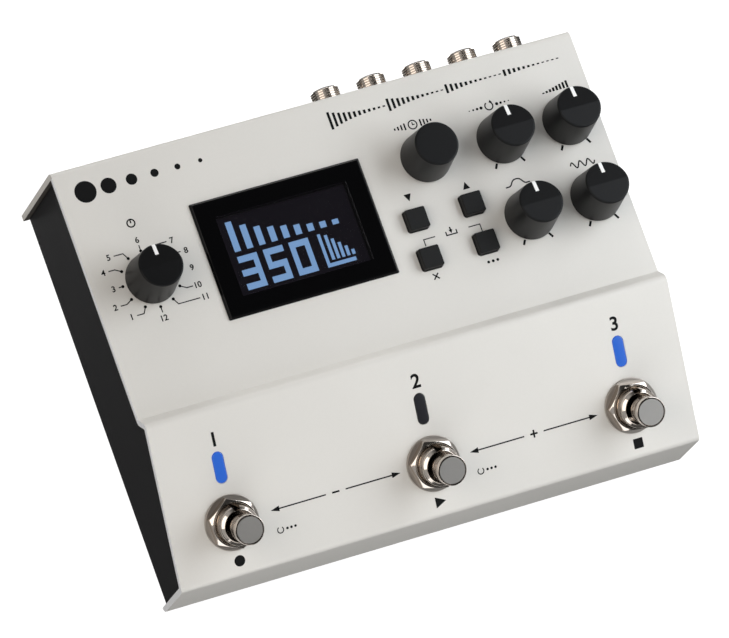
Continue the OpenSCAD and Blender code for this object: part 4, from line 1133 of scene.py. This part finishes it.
class PEDAL_OT_underside(bpy.types.Operator):
    """Makes the rubber feet, the grip on the battery door and the cells behind it."""

    bl_idname = "pedal.underside"
    bl_label = "Underside"

    dimple_r, dimple_d, groove_r, groove_w, groove_d, wall = 2.4, 1.6, 4.7, 0.9, 0.4, 0.2
    foot_edge, foot_rise, foot_ease = 0.8, 1.1, 0.3
    grip_w, grip_d, grip_rise, grip_start, grip_pitch, grip_count = 24, 1.0, 0.45, 9, 2.4, 6
    hair, least_corner = 0.01, 0.05
    cell_edge, cell_band, nub, nub_r, nub_edge = 0.5, 13, 1.2, 2.7, 0.3
    base_sunk, base_rim, base_fall = 0.2, 1.2, 0.4

    def foot(self, radius, height):
        """Turned pad with a round edge, a ring groove and a dimple in its underside."""
        inner, outer, wall = self.groove_r, self.groove_r + self.groove_w, self.wall
        dimple = [(0, self.dimple_d), (self.dimple_r - wall, self.dimple_d), (self.dimple_r, 0)]
        groove = [(inner, 0), (inner + wall, self.groove_d), (outer - wall, self.groove_d), (outer, 0)]
        edge = [(radius - self.foot_edge, 0), (radius, self.foot_rise), (radius, height), (0, height)]
        return lathe(softened([*dimple, *groove, *edge], self.foot_ease, 5), 96)

    def bar(self, width, depth, rise):
        """Low bar with round edges, hanging down from its plane."""
        a, sections = np.linspace(0, math.pi / 2, 5), []
        for inset, drop in zip(rise * (1 - np.sin(a)), rise * np.cos(a)):
            corner = max(depth / 2 - inset - self.hair, self.least_corner)
            sections.append((rounded_outline(width - 2 * inset, depth - 2 * inset, corner, 6), -drop))
        return tower([*sections, (sections[-1][0], rise)])

    def cells(self):
        """Four cells lying end for end by turns: bare base, wrap, band and bare top with its nub."""
        lowest, highest = low("battery_cells"), high("battery_cells")
        size, radius = highest[0] - lowest[0], (highest[2] - lowest[2]) / 2
        shoulder, nub_r, nub_edge = size - self.nub, self.nub_r, self.nub_edge
        inner, sunk = radius - self.cell_edge, self.base_sunk
        rim = inner - self.base_rim
        bottom = [(0, sunk), (rim - self.base_fall, sunk), (rim, 0), (inner, 0)]
        wrap = [(inner, 0), (radius, self.cell_edge), (radius, shoulder - self.cell_band)]
        band = [wrap[-1], (radius, shoulder - self.cell_edge), (inner, shoulder)]
        top = [band[-1], (nub_r, shoulder), (nub_r, size - nub_edge), (nub_r - nub_edge, size), (0, size)]
        light = grained("Cell band", linear("#c9ccd0"), 0.35, 800, 0.004)
        parts = ((bottom, finish("port_steel")), (wrap, finish("cell_wrap")), (band, light),
                 (top, finish("port_steel")))
        layers = []
        for i, y in enumerate(np.linspace(lowest[1] + radius, highest[1] - radius, 4)):
            way = 1 - 2 * (i % 2)
            axes = np.array([(0, way, 0), (0, 0, 1), (way, 0, 0)])
            origin = ((lowest[0] + highest[0] - way * size) / 2, y, lowest[2] + radius)
            layers += [(placed(lathe(part, 64), origin, axes), material) for part, material in parts]
        make_piece("cell_bodies", layers, slot="cell_wrap", stands_for=("battery_cells",), weld=True)

    def execute(self, context):
        self.cells()
        radius = mm("foot") / 2
        lowest, highest = low("rubber_feet"), high("rubber_feet")
        pad = self.foot(radius, highest[2])
        feet = joined(placed(pad, (x, y, 0)) for x in (lowest[0] + radius, highest[0] - radius)
                      for y in (lowest[1] + radius, highest[1] - radius))
        dress("foot_pads", feet, "foot_rubber", "rubber_feet")
        x, y, z = middle("battery_door")[0], high("battery_door")[1], low("bottom_chassis")[2]
        bar = self.bar(self.grip_w, self.grip_d, self.grip_rise)
        grip = joined(placed(bar, (x, y - self.grip_start - self.grip_pitch * i, z))
                      for i in range(self.grip_count))
        dress("door_grip", grip, "door_plastic", body="battery_door")
        return {"FINISHED"}


class PEDAL_OT_print(bpy.types.Operator):
    """Prints plain numbers, scales and signs on the two decks."""

    bl_idname = "pedal.print"
    bl_label = "Print"

    fine, thin, line, bold = 0.32, 0.4, 0.42, 0.7
    dial_dot, dial_dot_r, dial_end, dial_gap, dial_number_h = 8.95, 0.48, 11.1, 1.7, 1.9
    # Where a mark differs, by its angle: the line's end, the number's gap and the level tail's end
    dial_ends, dial_gaps = {0: 10.8, 90: 10.25, 180: 10.8}, {90: 3.0}
    dial_tails = {30: 8.5, 60: 11.6, 120: 11.6, 150: 12.5, -150: -7.8}
    dial_sign_y, dial_sign_r = 17.9, 1.2
    knob_sign_y, stop_angle, stop_start, stop_end = 11.0, 150, 7.95, 9.7
    echo_at, dots_at, dots_pitch, dots_r, dots_fade = (3.2, 53, 0), (-76.6, 52), 7.4, 3.4, 0.72
    number_h, number_y, shape_y, loop_y = 4.4, SLOPE_TOP - 9.75, SLOPE_TOP - 47.3, SLOPE_TOP - 41.8
    disc_r, point_size, square_side = 1.7, 3.4, 3.1
    # Start and end of each pair of arrows, and whether the sign between them is a plus
    arrow_pairs = ((-52.8, -10.6, False), (12.1, 54.4, True))
    loop_xs, loop_r, loop_dots_at, loop_dots_pitch, loop_dot_r = (-51.0, 14.35), 0.95, 2.2, 1.3, 0.4

    def block(self, x, y, width, depth):
        """A filled bar about (x, y)."""
        return prism(rounded_outline(width, depth, 0.02, 1) + (x, y), mm("ink"))

    def stroke(self, path, width, loop=False):
        """A line of ink."""
        return ribbon(path, width, mm("ink"), loop)

    def disc(self, x, y, radius):
        """A round dot."""
        return prism(circle(radius, 24) + (x, y), mm("ink"))

    def triangle(self, x, y, size, turn, wide=1.0):
        """A filled triangle, wide times its size across, whose point is turned clockwise from up."""
        a = np.radians(-turn)
        spin = np.array([(math.cos(a), math.sin(a)), (-math.sin(a), math.cos(a))])
        outline = np.array([(0, 0.5), (-0.5 * wide, -0.5), (0.5 * wide, -0.5)]) * size
        return prism(outline @ spin + (x, y), mm("ink"))

    def dial(self):
        """Twelve marks round the mode knob, each a dot, a line and a number, and a sign over them."""
        marks = []
        for count, turn in enumerate(range(-150, 181, 30), 1):
            way = arc(1, turn, turn, 0)[0]
            path = [way * self.dial_dot, way * self.dial_ends.get(abs(turn), self.dial_end)]
            tail = self.dial_tails.get(turn, -self.dial_tails.get(-turn, 0))
            if tail:
                path.append((tail, path[1][1]))
            end, gap = np.array(path[-1]), self.dial_gaps.get(turn, self.dial_gap)
            # The number stands beside the line's end, or past it on the two upright lines
            outward = np.array([np.sign(round(end[0], 3)) * gap, 0]) if turn % 180 else way * gap
            number = numeral(str(count), self.dial_number_h, mm("ink"))
            marks += [self.disc(*path[0], self.dial_dot_r), self.stroke(path, self.fine),
                      placed(number, (*(end + outward), 0))]
        y, r = self.dial_sign_y, self.dial_sign_r
        return [*marks, self.stroke(circle(r, 40) + (0, y), self.line, True),
                self.block(0, y + r / 2, self.line, r)]

    def echo(self):
        """Bars that fall off four times, each time from a lower start."""
        count, pitch, width, tall, least, run, fade, fall = 48, 1.6, 0.8, 5.6, 0.35, 12, 0.72, 4.5
        k = np.arange(count)
        heights = tall * fade ** (k // run) * np.exp(-(k % run) / fall)
        return [self.block(pitch * i, 0, width, max(h, least)) for i, h in enumerate(heights)]

    def knob_signs(self):
        """Signs for the knobs: clock, loop, rising bars, filter curve and wave."""
        half, foot, first = 4, -1, 2.6

        def both_sides(pitch, mark):
            """Four marks going out to each side; mark takes a mark's x and its number."""
            return [mark(side * (first + pitch * i), i) for side in (1, -1) for i in range(4)]

        clock = [self.stroke(circle(1.35, 40), 0.38, True),
                 self.stroke([(0, 0.8), (0, 0), (0.65, 0)], 0.34),
                 *both_sides(1.1, lambda x, i: self.block(x, 0, 0.5, 2.2 - 0.5 * i))]
        loop = [self.stroke(arc(1.25, 40, 330), self.thin), self.triangle(0.95, 1.1, 1.0, 120),
                *both_sides(1.3, lambda x, i: self.disc(x, 0, 0.5 - 0.1 * i))]
        rises = 0.4 + 0.27 * np.arange(8)
        bars = [self.block(-half + 1.15 * i, foot + rise / 2, 0.7, rise) for i, rise in enumerate(rises)]
        curve = [(-half, foot), (-2.4, foot), (-1, 0.9), (1, 0.9), (2.4, foot), (half, foot)]
        swing = 0.95 * np.sin(np.linspace(0, 6 * math.pi, 65))
        wave = np.column_stack([np.linspace(-half, half, 65), swing])
        return {"time": clock, "feedback": loop, "level": bars,
                "tone": [self.stroke(softened(curve, 0.8, 6), self.line)],
                "depth": [self.stroke(wave, self.line)]}

    def key_signs(self):
        """Arrows over the upper keys; a tray sign between two corner lines, a cross and three dots at the
        lower keys."""
        keys = {name: middle(f"{name}_key")[:2] for name in KEYS}
        arrow, corner_y = 2.3, 6.1
        signs = [self.triangle(*(keys["down"] + (0.3, 7.3)), arrow, 180),
                 self.triangle(*(keys["up"] + (0.4, 6.2)), arrow, 0)]
        for name, path in (("exit", [(0.3, 4.0), (0.3, corner_y), (4.1, corner_y)]),
                           ("edit", [(0.4, 3.7), (0.4, corner_y), (-3.3, corner_y)])):
            signs.append(self.stroke(keys[name] + path, self.fine))
        half, wall, floor = 1.7, 0.1, -1.1
        tray = (self.stroke([(-half, wall), (-half, floor), (half, floor), (half, wall)], self.thin),
                self.block(0, 0.75, 0.45, 1.0), self.triangle(0, -0.2, 1.2, 180))
        tray_at = (keys["exit"] + keys["edit"]) / 2 + (0.2, 6.5)
        signs += [placed(mark, (*tray_at, 0)) for mark in tray]
        arm, cross_at, dot_pitch, dot_r = 0.9, keys["exit"] + (0.1, -5.7), 1.5, 0.45
        signs += [self.stroke([(-arm, -way * arm) + cross_at, (arm, way * arm) + cross_at], self.line)
                  for way in (1, -1)]
        signs += [self.disc(*(keys["edit"] + (0.4 + dot_pitch * i, -5.9)), dot_r) for i in (-1, 0, 1)]
        return signs

    def deck(self):
        """All the print on the knob deck, about the deck's own origin."""
        ink = [placed(mark, (*hub("mode_turn")[:2], 0)) for mark in self.dial()]
        for name, signs in self.knob_signs().items():
            x, y = hub(f"{name}_turn")[:2]
            ink += [placed(sign, (x, y + self.knob_sign_y, 0)) for sign in signs]
        for name in POTS:
            for turn in (-self.stop_angle, self.stop_angle):
                way = arc(1, turn, turn, 0)[0]
                stop = self.stroke([way * self.stop_start, way * self.stop_end], self.bold)
                ink.append(placed(stop, (*hub(f"{name}_turn")[:2], 0)))
        ink += self.key_signs()
        ink += [placed(bar, self.echo_at) for bar in self.echo()]
        x, y = self.dots_at
        ink += [self.disc(x + self.dots_pitch * i, y, self.dots_r * self.dots_fade ** i) for i in range(6)]
        return joined(ink)

    def arrows(self, start, end, plus):
        """Two arrows that point away from each other, with a minus or a plus between them."""
        centre, gap, shaft, head, wide, sign, sign_w = (start + end) / 2, 3.2, 2.4, 2.8, 0.62, 2.4, 0.55
        marks = [self.stroke([(start + shaft, 0), (centre - gap, 0)], self.thin),
                 self.stroke([(centre + gap, 0), (end - shaft, 0)], self.thin),
                 self.triangle(start + head / 2, 0, head, -90, wide),
                 self.triangle(end - head / 2, 0, head, 90, wide), self.block(centre, 0, sign, sign_w)]
        return [*marks, self.block(centre, 0, sign_w, sign)] if plus else marks

    def slope(self):
        """All the print on the sloping deck, about the middle switch."""
        left, centre, right = SWITCH_X
        ink = [placed(numeral(str(count), self.number_h, mm("ink")), (x, self.number_y, 0))
               for count, x in enumerate(SWITCH_X, 1)]
        ink += [self.disc(left, self.shape_y, self.disc_r),
                self.triangle(centre, self.shape_y, self.point_size, 90),
                self.block(right, self.shape_y, self.square_side, self.square_side)]
        for pair in self.arrow_pairs:
            ink += self.arrows(*pair)
        for x in self.loop_xs:
            ink.append(self.stroke(arc(self.loop_r, 40, 330) + (x, self.loop_y), self.fine))
            ink += [self.disc(x + self.loop_dots_at + self.loop_dots_pitch * i, self.loop_y, self.loop_dot_r)
                    for i in range(3)]
        return joined(ink)

    def execute(self, context):
        make_piece("deck_print", [(placed(self.deck(), (0, 0, Z_DECK)), ink_material())])
        make_piece("slope_print", [(placed(self.slope(), SLOPE_MIDDLE, SLOPE), ink_material())])
        return {"FINISHED"}


class PEDAL_PT_looks(bpy.types.Panel):
    """Lists the steps that dress the pedal, with its sizes and colours."""

    bl_idname = "PEDAL_PT_looks"
    bl_label = "Delay pedal"
    bl_space_type = "VIEW_3D"
    bl_region_type = "UI"
    bl_category = "Pedal"

    def draw(self, context):
        for step in STEPS:
            self.layout.operator(step.bl_idname)
        for group in (context.scene.pedal_sizes, context.scene.pedal_colours):
            column = self.layout.column()
            for name in group.bl_rna.properties.keys():
                if name not in ("rna_type", "name"):
                    column.prop(group, name)


STEPS = (PEDAL_OT_stage, PEDAL_OT_finishes, PEDAL_OT_cover, PEDAL_OT_knobs, PEDAL_OT_keys,
         PEDAL_OT_display, PEDAL_OT_lights, PEDAL_OT_footswitches, PEDAL_OT_jacks, PEDAL_OT_underside,
         PEDAL_OT_print)
CLASSES = (PedalSizes, PedalColours, *STEPS, PEDAL_PT_looks)


def register():
    """Registers the classes and hangs the sizes and colours on the scene."""
    for item in CLASSES:
        bpy.utils.register_class(item)
    bpy.types.Scene.pedal_sizes = bpy.props.PointerProperty(type=PedalSizes)
    bpy.types.Scene.pedal_colours = bpy.props.PointerProperty(type=PedalColours)


def unregister():
    """Takes the classes and properties away again."""
    del bpy.types.Scene.pedal_colours
    del bpy.types.Scene.pedal_sizes
    for item in reversed(CLASSES):
        bpy.utils.unregister_class(item)


def main():
    """Runs the steps in order."""
    register()
    for step in STEPS:
        group, name = step.bl_idname.split(".")
        getattr(getattr(bpy.ops, group), name)()


if __name__ == "__main__":
    main()
